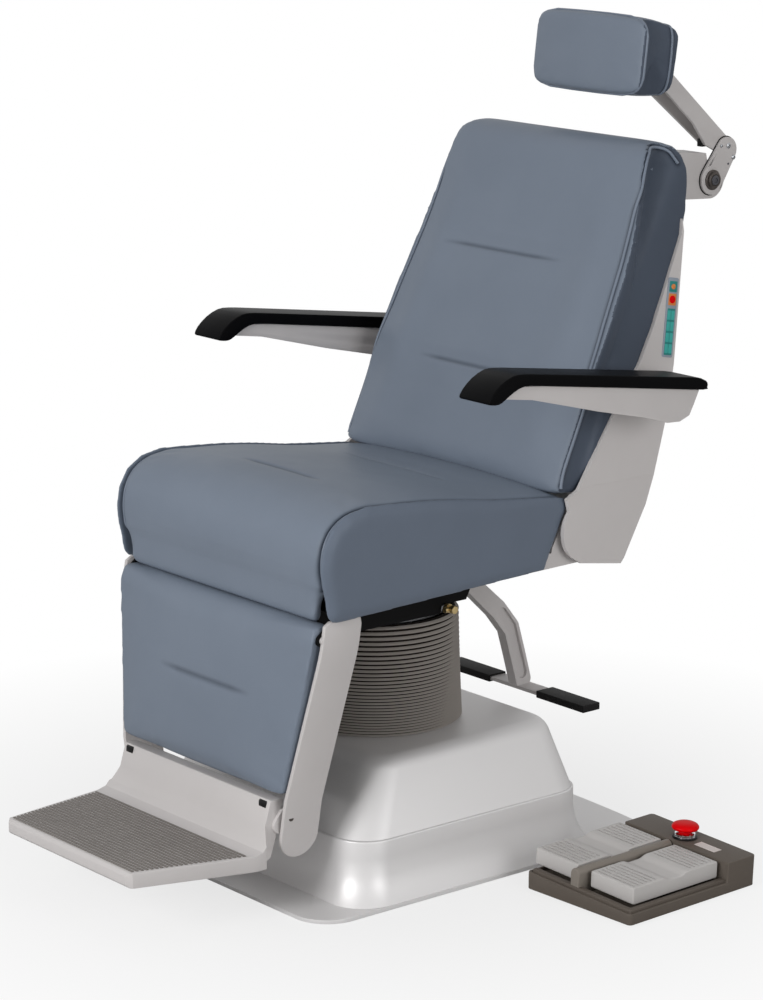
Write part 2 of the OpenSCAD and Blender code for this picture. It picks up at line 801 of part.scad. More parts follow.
module control_box() {
    color(moulded_black) translate([-box_w / 2, -box_y, plate_t]) difference() {
        cube([box_w, box_l, box_h]);
        translate([box_wall, box_wall, box_wall])
            cube([box_w - 2 * box_wall, box_l - 2 * box_wall, box_h - 2 * box_wall]);
    }
}

// Place of the rear face of the mains inlet
inlet_y = housing_rear + foot_spread + overrun;

module inlet_opening() {
    block([inlet_x - inlet_w / 2, housing_rear - inlet_l, inlet_z],
        [inlet_x + inlet_w / 2, inlet_y + overrun, inlet_z + inlet_h]);
}

module mains_inlet() {
    color(moulded_black) {
        difference() {
            block([inlet_x - inlet_w / 2, inlet_y - inlet_l, inlet_z],
                [inlet_x + inlet_w / 2, inlet_y, inlet_z + inlet_h]);
            translate([inlet_x - socket_w / 2, inlet_y - socket_depth, inlet_z + (inlet_h - socket_h) / 2])
                cube([socket_w, socket_depth + overrun, socket_h]);
        }
        for (i = [-1, 0, 1]) translate([inlet_x + i * prong_pitch - prong_w / 2, inlet_y - socket_depth,
            inlet_z + inlet_h / 2 - prong_h / 2]) cube([prong_w, prong_l, prong_h]);
    }
}

module bellows() {
    pitch = bellows_h / bellows_ribs;
    outer = [for (i = [0:bellows_ribs - 1]) each [
        [fold_r(i * pitch) - fold_depth, i * pitch],
        [fold_r((i + 0.35) * pitch), (i + 0.35) * pitch],
        [fold_r((i + 0.65) * pitch), (i + 0.65) * pitch]]];
    top = [[fold_r(bellows_h) - fold_depth, bellows_h]];
    inner = [[fold_r(bellows_h) - fold_depth - bellows_wall, bellows_h],
        [fold_r(0) - fold_depth - bellows_wall, 0]];
    color(bellows_taupe) translate([0, 0, housing_top]) rotate_extrude($fn = 96)
        polygon(concat(outer, top, inner));
}

// Outer radius of the bellows at a height above its foot
function fold_r(z) = bellows_foot_r + (bellows_top_r - bellows_foot_r) * z / bellows_h;

// Rising lift stage

module lift_tube() {
    color(steel_grey) difference() {
        union() {
            translate([0, 0, lift_foot]) cylinder(r = lift_r, h = head_z - lift_foot);
            translate([0, 0, head_z]) cylinder(r = head_flange_r, h = head_flange_t);
            translate([0, 0, ring_z]) cylinder(r = spigot_r, h = spigot_h);
        }
        translate([0, 0, lift_foot - overrun]) cylinder(r = lift_r - lift_wall, h = head_z - lift_foot + overrun);
    }
}

module lift_plunger() {
    color(steel_grey) translate([0, 0, plunger_foot]) cylinder(r = plunger_r, h = head_z - plunger_foot);
}

module swivel_ring() {
    color(steel_grey) translate([0, 0, ring_z]) difference() {
        cylinder(r = ring_outer_r, h = ring_t);
        translate([0, 0, -overrun]) cylinder(r = ring_inner_r, h = ring_t + 2 * overrun);
    }
}

// Seat

module seat_frame() {
    color(moulded_black) difference() {
        union() {
            block([-rail_x - overrun, -turntable_half, turntable_z],
                [rail_x + overrun, rail_step - overrun, turntable_z + turntable_t]);
            translate([0, 0, turntable_z]) cylinder(r = turntable_r, h = turntable_t);
            translate([0, 0, turntable_z]) cylinder(r = hub_r, h = hub_top - turntable_z);
            both_sides() side(rail_x, rail_x + rail_w) polygon([[-rail_front, turntable_z],
                [rail_step, turntable_z], [rail_step + 4, turntable_z + rail_rise],
                [rail_rear - 7, turntable_z + rail_rise], [rail_rear, turntable_z + 2 * rail_rise],
                [rail_rear, rail_top], [-rail_front, rail_top]]);
            block([-rail_x - overrun, -rail_front, front_cross_z],
                [rail_x + overrun, -rail_front + cross_l, rail_top]);
            block([-rail_x - overrun, rail_rear - cross_l - 7, turntable_z + rail_rise],
                [rail_x + overrun, rail_rear - 7, turntable_z + rail_rise + cross_l]);
            both_sides() block([rail_x + rail_w - overrun, -bracket_rear - cross_l, front_cross_z + cross_l],
                [bracket_x + overrun, -bracket_rear, rail_top]);
            both_sides() block([rail_x, rail_rear - cross_l - 2, rail_top - cross_l],
                [seat_plate_x, rail_rear - 2, rail_top]);
            both_sides() side(bracket_x, bracket_x + bracket_t)
                link_shape([-leg_axis_y, leg_axis_z], bracket_r,
                    [-bracket_rear - bracket_root_r, rail_top - bracket_root_r], bracket_root_r);
            both_sides() side(ear_gap, ear_gap + ear_t) {
                link_shape([lever_axis_y, lever_axis_z], ear_r, [lever_axis_y - 60, lever_axis_z + 6], ear_r);
                link_shape([lever_axis_y - 60, lever_axis_z + 6], ear_r,
                    [rail_rear - ear_r, turntable_z + rail_rise + ear_r], ear_r);
            }
            x_bar(-ear_gap - overrun, ear_gap + overrun, lever_axis_y, lever_axis_z, lever_pin_r);
        }
        translate([0, 0, turntable_z - overrun])
            cylinder(r = spigot_r + run_gap, h = hub_top - turntable_z + 2 * overrun);
        both_sides() x_bar(bracket_x - overrun, bracket_x + bracket_t + overrun, -leg_axis_y, leg_axis_z,
            leg_pin_r);
    }
}

module seat_pan() {
    color(moulded_black) block([-pan_half, -pan_front, rail_top], [pan_half, pan_rear, seat_base_z]);
}

module seat_plates() {
    color(paint_grey) both_sides() side(seat_plate_x, seat_plate_x + seat_plate_t) difference() {
        polygon(concat([[-bracket_rear, seat_base_z - seat_plate_drop]],
            [for (s = seat_plate_shares) [recline_y + s[0] * plate_round, recline_z + s[1] * plate_round]],
            [[-bracket_rear, recline_z + seat_plate_shares[9][1] * plate_round]]));
        translate([recline_y, recline_z]) circle(r = recline_shaft_r + run_gap);
    }
}

module seat_cushion() {
    loop = smooth_loop(place_rows(seat_shares, -seat_front, seat_depth, seat_base_z, seat_pad_h), 2);
    lowest = min([for (p = loop) p[1]]);
    halves = [for (p = loop) seat_half];
    color(vinyl_blue) translate([0, 0, seat_base_z + touch_gap - lowest])
        cushion(loop, halves, seat_crown, 3, seat_side_bulge, channel_depth, 0.5);
}

module seat_skirts() {
    apron_h = seat_base_z - apron_z;
    color(vinyl_blue) {
        both_sides() side(skirt_x, skirt_x + skirt_t) polygon(concat(
            [for (s = skirt_front_shares) [-seat_front + s[0] * apron_h, seat_base_z + s[1] * apron_h]],
            [for (s = skirt_rear_shares) [recline_y + s[0] * apron_h, seat_base_z + s[1] * apron_h]]));
        intersection() {
            side(-apron_top_half, apron_top_half) polygon([[-apron_front + apron_lip, apron_z],
                [-apron_front, apron_z + apron_lip_h], [-apron_front - apron_lip, seat_base_z],
                [-apron_front + apron_t, seat_base_z], [-apron_front + apron_t, apron_z]]);
            front(-seat_front, -seat_front + 3 * apron_t) polygon([[-apron_foot_half, apron_z], [apron_foot_half, apron_z],
                [apron_top_half, seat_base_z], [-apron_top_half, seat_base_z]]);
        }
    }
}

module recline_barrel() {
    color(moulded_black) difference() {
        union() {
            y_bar(-cylinder_front, -cylinder_front + cylinder_l, cylinder_x, cylinder_z, cylinder_r);
            block([cylinder_x - cylinder_r, -rail_front + cross_l, cylinder_z],
                [cylinder_x + cylinder_r, -cylinder_front + cross_l, rail_top]);
        }
        y_bar(-cylinder_front + barrel_wall, -cylinder_front + cylinder_l + overrun, cylinder_x, cylinder_z,
            rod_r + run_gap);
    }
}

module hose_fitting() {
    color(brass_gold) translate([rail_x + rail_w, hose_y, turntable_z + hose_rise]) rotate([0, 90, 0]) {
        cylinder(r = hose_nut_r, h = hose_nut_l, $fn = 6);
        translate([0, 0, hose_nut_l]) cylinder(r = hose_r, h = hose_l);
        translate([0, 0, hose_nut_l + hose_l]) cylinder(r = hose_cap_r, h = hose_cap_l, $fn = 6);
    }
}

module leg_pins() {
    color(steel_grey) both_sides()
        x_bar(bracket_x, leg_lug_x + leg_arm_t, -leg_axis_y, leg_axis_z, leg_pin_r);
}

// Recline drive

module drive_bar() {
    bar_x = crank_x + crank_w + touch_gap;
    barrel_end = -cylinder_front + cylinder_l;
    color(steel_grey) {
        difference() {
            side(bar_x, bar_x + drive_bar_t) {
                link_shape([leg_pin_y, leg_pin_z], drive_pin_r + slot_slack + slot_wall,
                    [-turntable_half - 8, drive_rise_z], drive_bar_h / 2);
                link_shape([leg_pin_y, leg_pin_z], drive_pin_r + slot_slack + slot_wall,
                    [leg_pin_y, leg_pin_z - slot_drop], drive_pin_r + slot_slack + slot_wall);
                link_shape([-turntable_half - 8, drive_rise_z], drive_bar_h / 2,
                    [recline_pin_y, recline_pin_z], drive_bar_h / 2);
            }
            drive_slot(leg_pin_y, leg_pin_z);
            drive_slot(recline_pin_y, recline_pin_z);
        }
        y_bar(barrel_end - rod_l, barrel_end + rod_reach, cylinder_x, cylinder_z, rod_r);
        block([cylinder_x, barrel_end + rod_reach - 2 * rod_r, cylinder_z - rod_r],
            [bar_x + overrun, barrel_end + rod_reach, cylinder_z + rod_r]);
    }
}

// Upright slot in the drive bar for a crank pin
module drive_slot(y, z) {
    side(crank_x, crank_x + crank_w + drive_bar_t + 2 * overrun) {
        link_shape([y, z - slot_drop], drive_pin_r + slot_slack, [y, z], drive_pin_r + slot_slack);
    }
}

// Backrest

// Half width of the back cushion at height z: tapered, with rounded corners
function back_half(z) = let (
    straight = back_w / 2 - back_taper * (z - back_foot_z),
    over = z - (back_foot_z + back_rise - back_corner),
    under = back_foot_z + back_foot_corner / 2 - z)
    straight - corner_cut(over, back_corner) - corner_cut(under, back_foot_corner / 2);

// Swell of the front of the back cushion at height z, tucked in at its foot
function back_bulge(z) = let (rise_share = (z - back_foot_z) / back_rise)
    back_swell * max(0, sin(180 * min(1, max(0, (rise_share - 0.12) / 0.88))))
        - back_foot_tuck * max(0, 1 - rise_share / 0.14);

// How much a round corner takes off a width, at a distance past the start of the round
function corner_cut(past, r) = past <= 0 ? 0 : r - sqrt(max(0, r * r - pow(min(past, r), 2)));

function back_point(share) = [back_foot_y + share[0] * back_run, back_foot_z + share[1] * back_rise];

back_loop = smooth_loop(place_rows(back_shares, back_foot_y, back_run, back_foot_z, back_rise), 2);

module recline_shaft() {
    color(steel_grey) {
        x_bar(-plate_inner_x - back_plate_t, plate_inner_x + back_plate_t, recline_y, recline_z, recline_shaft_r);
        side(crank_x, crank_x + crank_w) link_shape([recline_y, recline_z], recline_shaft_r + 4,
            [recline_pin_y, recline_pin_z], 9);
        x_bar(crank_x, crank_x + crank_w + touch_gap + drive_bar_t, recline_pin_y, recline_pin_z, drive_pin_r);
    }
}

// Outline of the back side plate, all in one plane
module back_plate_shape() {
    upper = [for (s = plate_upper_shares) back_point(s)];
    polygon(concat([[recline_y - 15, recline_z - plate_round], [plate_heel_y - 7, plate_foot_z],
        [plate_heel_y, plate_foot_z + 8], [plate_knee_y, plate_knee_z]],
        [for (i = [len(upper) - 1:-1:0]) upper[i]],
        [[plate_neck_y, plate_bend_z - 3], [recline_y - 44, recline_z + 54]]));
    translate([recline_y, recline_z]) circle(r = plate_round);
}

module back_plates() {
    color(paint_grey) both_sides() difference() {
        union() {
            intersection() {
                side(plate_inner_x, plate_inner_x + back_plate_t) back_plate_shape();
                block([0, 0, 0], [back_w, back_w, plate_bend_z]);
            }
            translate([plate_inner_x, 0, plate_bend_z]) rotate([0, -back_lean, 0])
                translate([0, 0, -plate_bend_z]) intersection() {
                    side(0, back_plate_t) back_plate_shape();
                    block([-back_w, 0, plate_bend_z - overrun / 2], [back_w, 2 * back_w, 2 * back_foot_z]);
                }
        }
        x_bar(plate_inner_x - overrun, plate_inner_x + back_plate_t + overrun, recline_y, recline_z,
            recline_shaft_r);
        x_bar(0, arm_x, arm_pivot_y, arm_pivot_z, hub_shaft_r + run_gap);
    }
}

module back_cushion() {
    halves = [for (p = back_loop) back_half(p[1]) + back_bulge(p[1]) * min(1, max(0, p[2]))];
    color(vinyl_blue) cushion(back_loop, halves, back_crown, 4, back_side_bulge, channel_depth, 0.62);
}

// Band along a line of points, drawn out to both sides and cut to the taper of the backrest
module back_band(line, thickness, gap, half) {
    n = len(line);
    inner = [for (i = [0:n - 1]) line[i] + band_normal(line, i) * gap];
    outer = [for (i = [0:n - 1]) line[i] + band_normal(line, i) * (gap + thickness)];
    low = line[0][1] - 2 * thickness;
    high = line[n - 1][1] + 2 * thickness;
    intersection() {
        side(-back_w, back_w) polygon(concat(inner, [for (i = [n - 1:-1:0]) outer[i]]));
        front(0, 2 * back_w) polygon([[-half, low], [half, low], [half, plate_bend_z],
            [half - back_taper * (high - plate_bend_z), high], [-half + back_taper * (high - plate_bend_z), high],
            [-half, plate_bend_z]]);
    }
}

// Rearward unit normal of a line of points that climbs
function band_normal(line, i) = let (a = line[max(0, i - 1)], b = line[min(len(line) - 1, i + 1)],
    d = (b - a) / norm(b - a)) [d[1], -d[0]];

// Rear line of the back cushion, from its foot upwards
board_shares = [[0.30, 0.07], [0.49, 0.19], [0.72, 0.345], [0.84, 0.445], [0.98, 0.565], [1.135, 0.72],
    [1.185, 0.82], [1.20, 0.89]];
cover_shares = [[1.004, 0.32], [1.104, 0.62]];

module back_board() {
    color(moulded_black) {
        back_band([for (s = board_shares) back_point(s)], board_t, pad_gap, back_w / 2 - board_inset);
        back_band([for (i = [0:board_wide_rows]) back_point(board_shares[i])], board_t, pad_gap, cover_half);
    }
}

module back_cover() {
    line = concat([[plate_heel_y - board_t, plate_foot_z + 9], [plate_knee_y - board_t, plate_knee_z]],
        [for (s = cover_shares) back_point(s) - [board_t, 0]]);
    color(paint_grey) difference() {
        back_band(line, board_t - overrun, 0, cover_half);
        block([-bracket_x, 0, bracket_root_z - 2], [bracket_x, 2 * back_w, 2 * back_foot_z]);
    }
}

module keypad() {
    color(case_taupe) translate([plate_inner_x, 0, plate_bend_z]) rotate([0, -back_lean, 0])
        translate([back_plate_t, keypad_mid_y, keypad_mid_z - plate_bend_z]) rotate([-keypad_tilt, 0, 0]) {
            block([0, -keypad_w / 2, -keypad_l / 2], [keypad_t, keypad_w / 2, keypad_l / 2]);
            for (r = [0:key_rows - 1]) for (c = [-1, 1])
                translate([keypad_t, c * key_w * 0.62 - key_w / 2, -keypad_l / 2 + 5 + r * key_pitch])
                    cube([key_t, key_w, key_l]);
            translate([keypad_t, 0, keypad_l / 2 - 34]) rotate([0, 90, 0]) cylinder(r = round_key_r, h = key_t);
            translate([keypad_t, 0, keypad_l / 2 - 14]) rotate([0, 90, 0]) cylinder(r = round_key_r / 2, h = key_t);
        }
}

module head_bracket() {
    half = head_arm_w / 2;
    color(paint_grey) difference() {
        union() {
            side(-half, half) {
                polygon([[bracket_root_y, bracket_root_z + 8], [knob_y, knob_z - bracket_end_r],
                    [knob_y, knob_z], [knob_y - bracket_end_r / 3, bracket_top_z - 3],
                    [bracket_root_y, bracket_root_z + bracket_root_h]]);
                translate([knob_y, knob_z]) circle(r = bracket_end_r);
            }
            block([-half - 20, bracket_root_y, bracket_root_z], [half + 20, bracket_root_y + bracket_wall,
                bracket_root_z + bracket_root_h]);
        }
        side(-half + bracket_wall, half - bracket_wall) polygon([
            [bracket_root_y + bracket_wall, bracket_root_z + 8 + bracket_wall],
            [knob_y - bracket_end_r, knob_z - bracket_end_r + bracket_wall],
            [knob_y - bracket_end_r, bracket_top_z - 2 * bracket_wall],
            [bracket_root_y + bracket_wall, bracket_root_z + bracket_root_h - 2 * bracket_wall]]);
        x_bar(-half - overrun, half + overrun, knob_y, knob_z, head_pin_r + run_gap);
    }
}

// Armrests, drawn for the right-hand side

module arm_hub() {
    shaft_x = plate_inner_x - 22;
    flange_x = plate_inner_x + back_plate_t + 1;
    color(steel_grey) {
        x_bar(shaft_x, arm_x - shell_w / 2 + 14, arm_pivot_y, arm_pivot_z, hub_shaft_r);
        x_bar(flange_x, arm_x - shell_w / 2 - touch_gap, arm_pivot_y, arm_pivot_z, hub_flange_r);
    }
}

module arm_shell_shape() {
    polygon([for (s = shell_shares) [cap_rear_y - s[0] * cap_l, cap_rear_z + shell_lift + s[1] * cap_h]]);
}

module arm_shell() {
    x0 = arm_x - shell_w / 2;
    x1 = arm_x + shell_w / 2;
    color(paint_grey) difference() {
        side(x0, x1) arm_shell_shape();
        intersection() {
            side(x0 + 6, x1 - shell_wall) arm_shell_shape();
            side(x0 + 6, x1 - shell_wall) translate([-shell_wall, shell_wall]) arm_shell_shape();
            side(x0 + 6, x1 - shell_wall) translate([shell_wall, -shell_wall]) arm_shell_shape();
        }
        x_bar(x0 - overrun, x0 + 6 + overrun, arm_pivot_y, arm_pivot_z, hub_shaft_r + run_gap);
    }
}

module arm_cap() {
    rows = [for (s = cap_shares) [cap_rear_y - s[0] * cap_l, cap_rear_z + s[1] * cap_h]];
    color(moulded_black) side(arm_x - cap_w / 2, arm_x + cap_w / 2) polygon(smooth_loop(rows, 2));
}

// Leg rest and footrest

// Height in the leaning blade's own plane that shows at height z
function blade_z(z) = leg_bend_z - (leg_bend_z - z) / cos(blade_lean);

module leg_arms() {
    r = blade_w / 2;
    color(paint_grey) both_sides() difference() {
        union() {
            intersection() {
                side(leg_lug_x, leg_lug_x + leg_arm_t) {
                    link_shape([-leg_axis_y, leg_axis_z], leg_lug_r, [-blade_top_y, blade_top_z], r);
                    link_shape([-blade_top_y, blade_top_z], r, [-blade_corner_y, blade_corner_z], blade_corner_r);
                }
                block([0, -2 * leg_axis_y, leg_bend_z], [seat_w, 0, 2 * leg_axis_z]);
            }
            translate([leg_lug_x, 0, leg_bend_z]) rotate([0, blade_lean, 0]) translate([0, 0, -leg_bend_z])
                intersection() {
                    side(0, leg_arm_t) {
                        link_shape([-leg_axis_y, leg_axis_z], leg_lug_r, [-blade_top_y, blade_top_z], r);
                        link_shape([-blade_top_y, blade_top_z], r, [-blade_knee_y, blade_z(blade_knee_z)], r);
                        link_shape([-blade_knee_y, blade_z(blade_knee_z)], r,
                            [-blade_knee_y, blade_z(blade_foot_z)], r);
                    }
                    block([-seat_w, -2 * leg_axis_y, 0], [seat_w, 0, leg_bend_z + overrun / 2]);
                }
        }
        x_bar(leg_lug_x - overrun, leg_lug_x + leg_arm_t + overrun, -leg_axis_y, leg_axis_z, leg_pin_r + run_gap);
        x_bar(0, leg_lug_x - 10, -foot_axis_y, foot_axis_z, foot_screw_r);
    }
}

// Inner face of the leg arms at height z
function arm_inner(z) = leg_lug_x - (leg_bend_z - z) * tan(blade_lean);

leg_loop = smooth_loop([for (s = leg_shares) [-leg_pad_top_y + s[0] * leg_pad_t - (1 - s[1]) * leg_pad_run,
    leg_pad_foot_z + s[1] * leg_pad_rise, s[2], s[3]]], 2);

module leg_board() {
    rear_y = max([for (p = leg_loop) p[0] + (leg_pad_top_z - p[1]) * tan(leg_lean)]) + touch_gap;
    top_back = tan(leg_lean) * (leg_pad_top_z - leg_board_top);
    foot_back = tan(leg_lean) * (leg_pad_top_z - leg_pad_foot_z - 6);
    color(moulded_black) {
        difference() {
          intersection() {
            side(-leg_pad_top, leg_pad_top) polygon([
                [rear_y - top_back, leg_board_top], [rear_y - foot_back, leg_pad_foot_z + 6],
                [rear_y - foot_back + 8, leg_pad_foot_z + 6], [rear_y - top_back + 8, leg_board_top]]);
            front(-2 * leg_axis_y, 0) polygon([
                [-arm_inner(leg_bend_z) + 1, leg_bend_z], [arm_inner(leg_bend_z) - 1, leg_bend_z],
                [arm_inner(leg_pad_foot_z) - 1, leg_pad_foot_z], [-arm_inner(leg_pad_foot_z) + 1, leg_pad_foot_z]]);
          }
          block([crank_x + crank_w, -2 * leg_axis_y, leg_pin_z - 28],
              [crank_x + crank_w + drive_bar_t + 3, 0, leg_axis_z]);
        }
        side(crank_x, crank_x + crank_w) polygon([[rear_y - top_back, leg_pin_z - 14],
            [leg_pin_y, leg_pin_z - 9], [leg_pin_y + 8, leg_pin_z], [leg_pin_y + 4, leg_pin_z + 9],
            [rear_y - top_back + 2, leg_pin_z + 16]]);
        x_bar(crank_x, crank_x + crank_w + touch_gap + drive_bar_t, leg_pin_y, leg_pin_z, drive_pin_r);
    }
}

module leg_cushion() {
    color(vinyl_blue) cushion(leg_loop, [for (p = leg_loop) leg_half(p)], leg_crown, 3, 0, channel_depth, 0.5);
}

// Half width of the leg pad at a point of its side loop, notched behind its front skin for the hinge bracket
function leg_half(p) = let (taper = leg_pad_foot + (leg_pad_top - leg_pad_foot)
    * (p[1] - leg_pad_foot_z) / leg_pad_rise)
    p[1] > leg_notch_z && (p[0] > -leg_pad_top_y + leg_notch_skin || p[1] > leg_notch_top)
        ? min(taper, leg_notch_half) : taper;

module foot_screws() {
    inner = arm_inner(foot_axis_z);
    color(steel_grey) both_sides() {
        x_bar(inner - foot_lug_t - 8, inner + leg_arm_t, -foot_axis_y, foot_axis_z, foot_screw_r);
    }
}

module foot_bracket() {
    toe_z = foot_plate_z + foot_toe_rise;
    inner = arm_inner(foot_axis_z - foot_lug_r - cross_l - 4) - touch_gap;
    color(paint_grey) difference() {
        union() {
            intersection() {
                side(-footplate_rear_w, footplate_rear_w) polygon([
                    [-footplate_front, toe_z + 5], [-footplate_front + 5, toe_z],
                    [-foot_plate_rear, foot_plate_z], [-foot_bend_y, foot_plate_z],
                    [-foot_bend_y + foot_wall_t / 2 + 6, foot_plate_z + 8],
                    [-foot_bend_y + foot_wall_t + 4, foot_bend_z],
                    [-foot_top_y + foot_wall_t, foot_top_z - 2], [-foot_top_y + foot_wall_t - 3, foot_top_z],
                    [-foot_top_y + 2, foot_top_z], [-foot_top_y, foot_top_z - 2],
                    [-foot_bend_y + 5, foot_bend_z + 14], [-foot_bend_y, foot_bend_z],
                    [-foot_bend_y - 9, foot_bend_z - 10], [-foot_plate_rear, foot_plate_z + foot_plate_t],
                    [-footplate_front + 5, toe_z + foot_plate_t], [-footplate_front, toe_z + foot_plate_t - 5]]);
                linear_extrude(2 * foot_top_z) polygon([
                    [-footplate_front_w + 8, -footplate_front], [footplate_front_w - 8, -footplate_front],
                    [footplate_front_w, -footplate_front + 8],
                    [footplate_rear_w, -foot_plate_rear], [footplate_rear_w, -foot_bend_y - 2],
                    [inner - 5, -foot_bend_y + 8], [inner - 5, 0], [-inner + 5, 0],
                    [-inner + 5, -foot_bend_y + 8], [-footplate_rear_w, -foot_bend_y - 2],
                    [-footplate_rear_w, -foot_plate_rear], [-footplate_front_w, -footplate_front + 8]]);
            }
            both_sides() side(inner - foot_lug_t, inner) {
                link_shape([-foot_axis_y, foot_axis_z], foot_lug_r, [-foot_axis_y - 10, foot_axis_z - 12],
                    foot_lug_r);
            }
        }
        both_sides() x_bar(inner - foot_lug_t - overrun, inner + overrun, -foot_axis_y, foot_axis_z,
            foot_screw_r + run_gap);
    }
}

module foot_tread() {
    run = footplate_front - tread_rear - tread_margin;
    rise = foot_toe_rise / (footplate_front - 5 - foot_plate_rear);
    taper = (footplate_rear_w - footplate_front_w) / (footplate_front - foot_plate_rear);
    color(moulded_black) for (i = [0:tread_count - 1]) {
        y = -tread_rear - run * (i + 0.5) / tread_count;
        half = footplate_front_w + taper * (y + footplate_front) - tread_margin;
        translate([-half, y - tread_w / 2, foot_plate_z + foot_plate_t + rise * (-y - foot_plate_rear) + touch_gap])
            cube([2 * half, tread_w, tread_t]);
    }
}

// Headrest

module head_links() {
    half = head_arm_w / 2 + touch_gap;
    color(paint_grey) difference() {
        side(half, half + link_t) link_shape([knob_y, knob_z], knob_plate_r, [joint_y, joint_z], joint_r);
        x_bar(0, head_arm_w, knob_y, knob_z, head_pin_r);
    }
}

// Unit vector from the headrest link joint to the pad joint, and the one across it
head_along = [tilt_y - joint_y, tilt_z - joint_z] / norm([tilt_y - joint_y, tilt_z - joint_z]);
head_across = [-head_along[1], head_along[0]];

// Point on the headrest arm: distance along it from the link joint, and distance towards its upper face
function arm_point(along, up) = [joint_y, joint_z] + head_along * along - head_across * up;

module head_arm() {
    half = head_arm_w / 2;
    reach = norm([tilt_y - joint_y, tilt_z - joint_z]);
    upper = joint_r - 3;
    lower = upper - arm_depth;
    color(paint_grey) difference() {
        union() {
            side(half - arm_wall, half) {
                polygon([arm_point(0, upper), arm_point(reach - 55, upper), arm_point(reach - 55, lower),
                    arm_point(88, lower), arm_point(42, lower - 10), arm_point(10, lower - 2)]);
                translate([joint_y, joint_z]) circle(r = joint_r);
            }
            side(-half, -half + arm_wall) polygon([arm_point(8, upper), arm_point(reach - 55, upper),
                arm_point(reach - 55, lower), arm_point(12, upper - 20)]);
            side(-half, half) polygon([arm_point(8, upper), arm_point(reach - 55, upper),
                arm_point(reach - 55, upper - arm_web), arm_point(8, upper - arm_web)]);
            side(-half, half) polygon([arm_point(reach - 90, upper - arm_web), arm_point(reach - 55, upper),
                arm_point(reach - 50, upper - 4), arm_point(reach - 50, lower + 4), arm_point(reach - 55, lower)]);
            side(-tilt_eye_w / 2, tilt_eye_w / 2) link_shape(arm_point(reach - 58, (upper + lower) / 2),
                tilt_eye_r - 2, [tilt_y, tilt_z], tilt_eye_r - 3);
        }
        x_bar(-half, half, tilt_y, tilt_z, tilt_pin_r + run_gap);
    }
}

module head_knob() {
    outer = head_arm_w / 2 + touch_gap + link_t;
    color(moulded_black) {
        x_bar(-head_arm_w / 2 - 2, outer, knob_y, knob_z, head_pin_r);
        x_bar(outer, outer + 7, knob_y, knob_z, knob_r);
        x_bar(outer + 7, outer + 9, knob_y, knob_z, knob_r * 0.7);
        x_bar(-head_arm_w / 2 - 6, -head_arm_w / 2 - touch_gap, knob_y, knob_z, knob_r * 0.8);
    }
}

module head_screws() {
    outer = head_arm_w / 2 + touch_gap + link_t;
    places = [[joint_y - 14, joint_z + 9], [joint_y + 3, joint_z + 7], [joint_y + 15, joint_z - 13]];
    color(steel_grey) for (p = places) x_bar(outer, outer + screw_h, p[0], p[1], screw_r);
}

module head_bumper() {
    half = head_arm_w / 2 - arm_wall;
    color(moulded_black) side(half - bumper_l, half) polygon([[bumper_y, bracket_top_z + 1],
        [bumper_y + bumper_l, bracket_top_z + 1], arm_point(30, joint_r - arm_depth),
        arm_point(50, joint_r - arm_depth)]);
}

head_loop = smooth_loop(place_rows(head_shares, 0, head_d, 0, head_h), 2);

// Place and turn of the headrest pad
module on_head() {
    translate([0, head_front_y, head_foot_z]) rotate([-head_lean, 0, 0]) children();
}

module head_board() {
    half = head_w / 2 * board_width_share;
    back_y = max([for (p = head_loop) p[0]]) + touch_gap;
    ear_x = tilt_eye_w / 2 + touch_gap;
    color(moulded_black) {
        on_head() block([-half, back_y, head_h * board_low_share],
            [half, back_y + head_board_t, head_h * board_high_share]);
        both_sides() side(ear_x, ear_x + head_ear_t)
            link_shape([tilt_y, tilt_z], head_ear_r, [tilt_y - head_ear_l, tilt_z], head_ear_l);
        x_bar(-ear_x - head_ear_t + touch_gap, ear_x + head_ear_t - touch_gap, tilt_y, tilt_z, tilt_pin_r);
    }
}

module head_cushion() {
    color(vinyl_blue) on_head() cushion(head_loop, [for (p = head_loop) head_half(p[1])], head_crown, 4, 3, 0, 1);
}

// Half width of the headrest pad at a height above its foot
function head_half(z) = head_w / 2 - corner_cut(max(head_corner - z, z - (head_h - head_corner)), head_corner);

// Foot lever

module lever_post() {
    last = len(post_points) - 1;
    foot = post_points[last];
    front_y = bar_y - bar_l / 2 + grip_wall;
    rear_y = bar_y + bar_l / 2 - grip_wall;
    color(paint_grey) difference() {
        union() {
            side(-post_t / 2, post_t / 2) for (i = [0:last - 1])
                link_shape(post_points[i], i == 0 ? post_eye_r : post_half, post_points[i + 1], post_half);
            translate([0, 0, bar_z]) linear_extrude(bar_t) polygon([
                [-lever_w / 2 + 4, front_y], [lever_w / 2 - 4, front_y],
                [lever_w / 2 - 4, rear_y], [-lever_w / 2 + 4, rear_y]]);
        }
        x_bar(-post_t, post_t, lever_axis_y, lever_axis_z, lever_pin_r + run_gap);
        both_sides() side(web_t / 2, post_t / 2 + overrun) for (i = [1:last - 1])
            link_shape(i == 1 ? post_points[i] + [8, -8] : post_points[i], post_half - 6,
                i == last - 1 ? foot + [-3, 12] : post_points[i + 1], post_half - 6);
        block([-post_t, 0, 0], [post_t, 2 * bar_y, bar_z]);
    }
}

module lever_grips() {
    color(moulded_black) both_sides() difference() {
        block([lever_w / 2 - grip_l, bar_y - bar_l / 2, bar_z - grip_wall],
            [lever_w / 2, bar_y + bar_l / 2, bar_z + bar_t + grip_wall]);
        block([lever_w / 2 - grip_l - overrun, bar_y - bar_l / 2 + grip_wall, bar_z],
            [lever_w / 2 - 4, bar_y + bar_l / 2 - grip_wall, bar_z + bar_t]);
    }
}

// Foot control

module on_control() {
    translate([control_x, control_y, 0]) rotate(control_yaw) children();
}

// The same place, turned to the slope of its top
module on_slope() {
    on_control() rotate([0, control_slope, 0]) children();
}

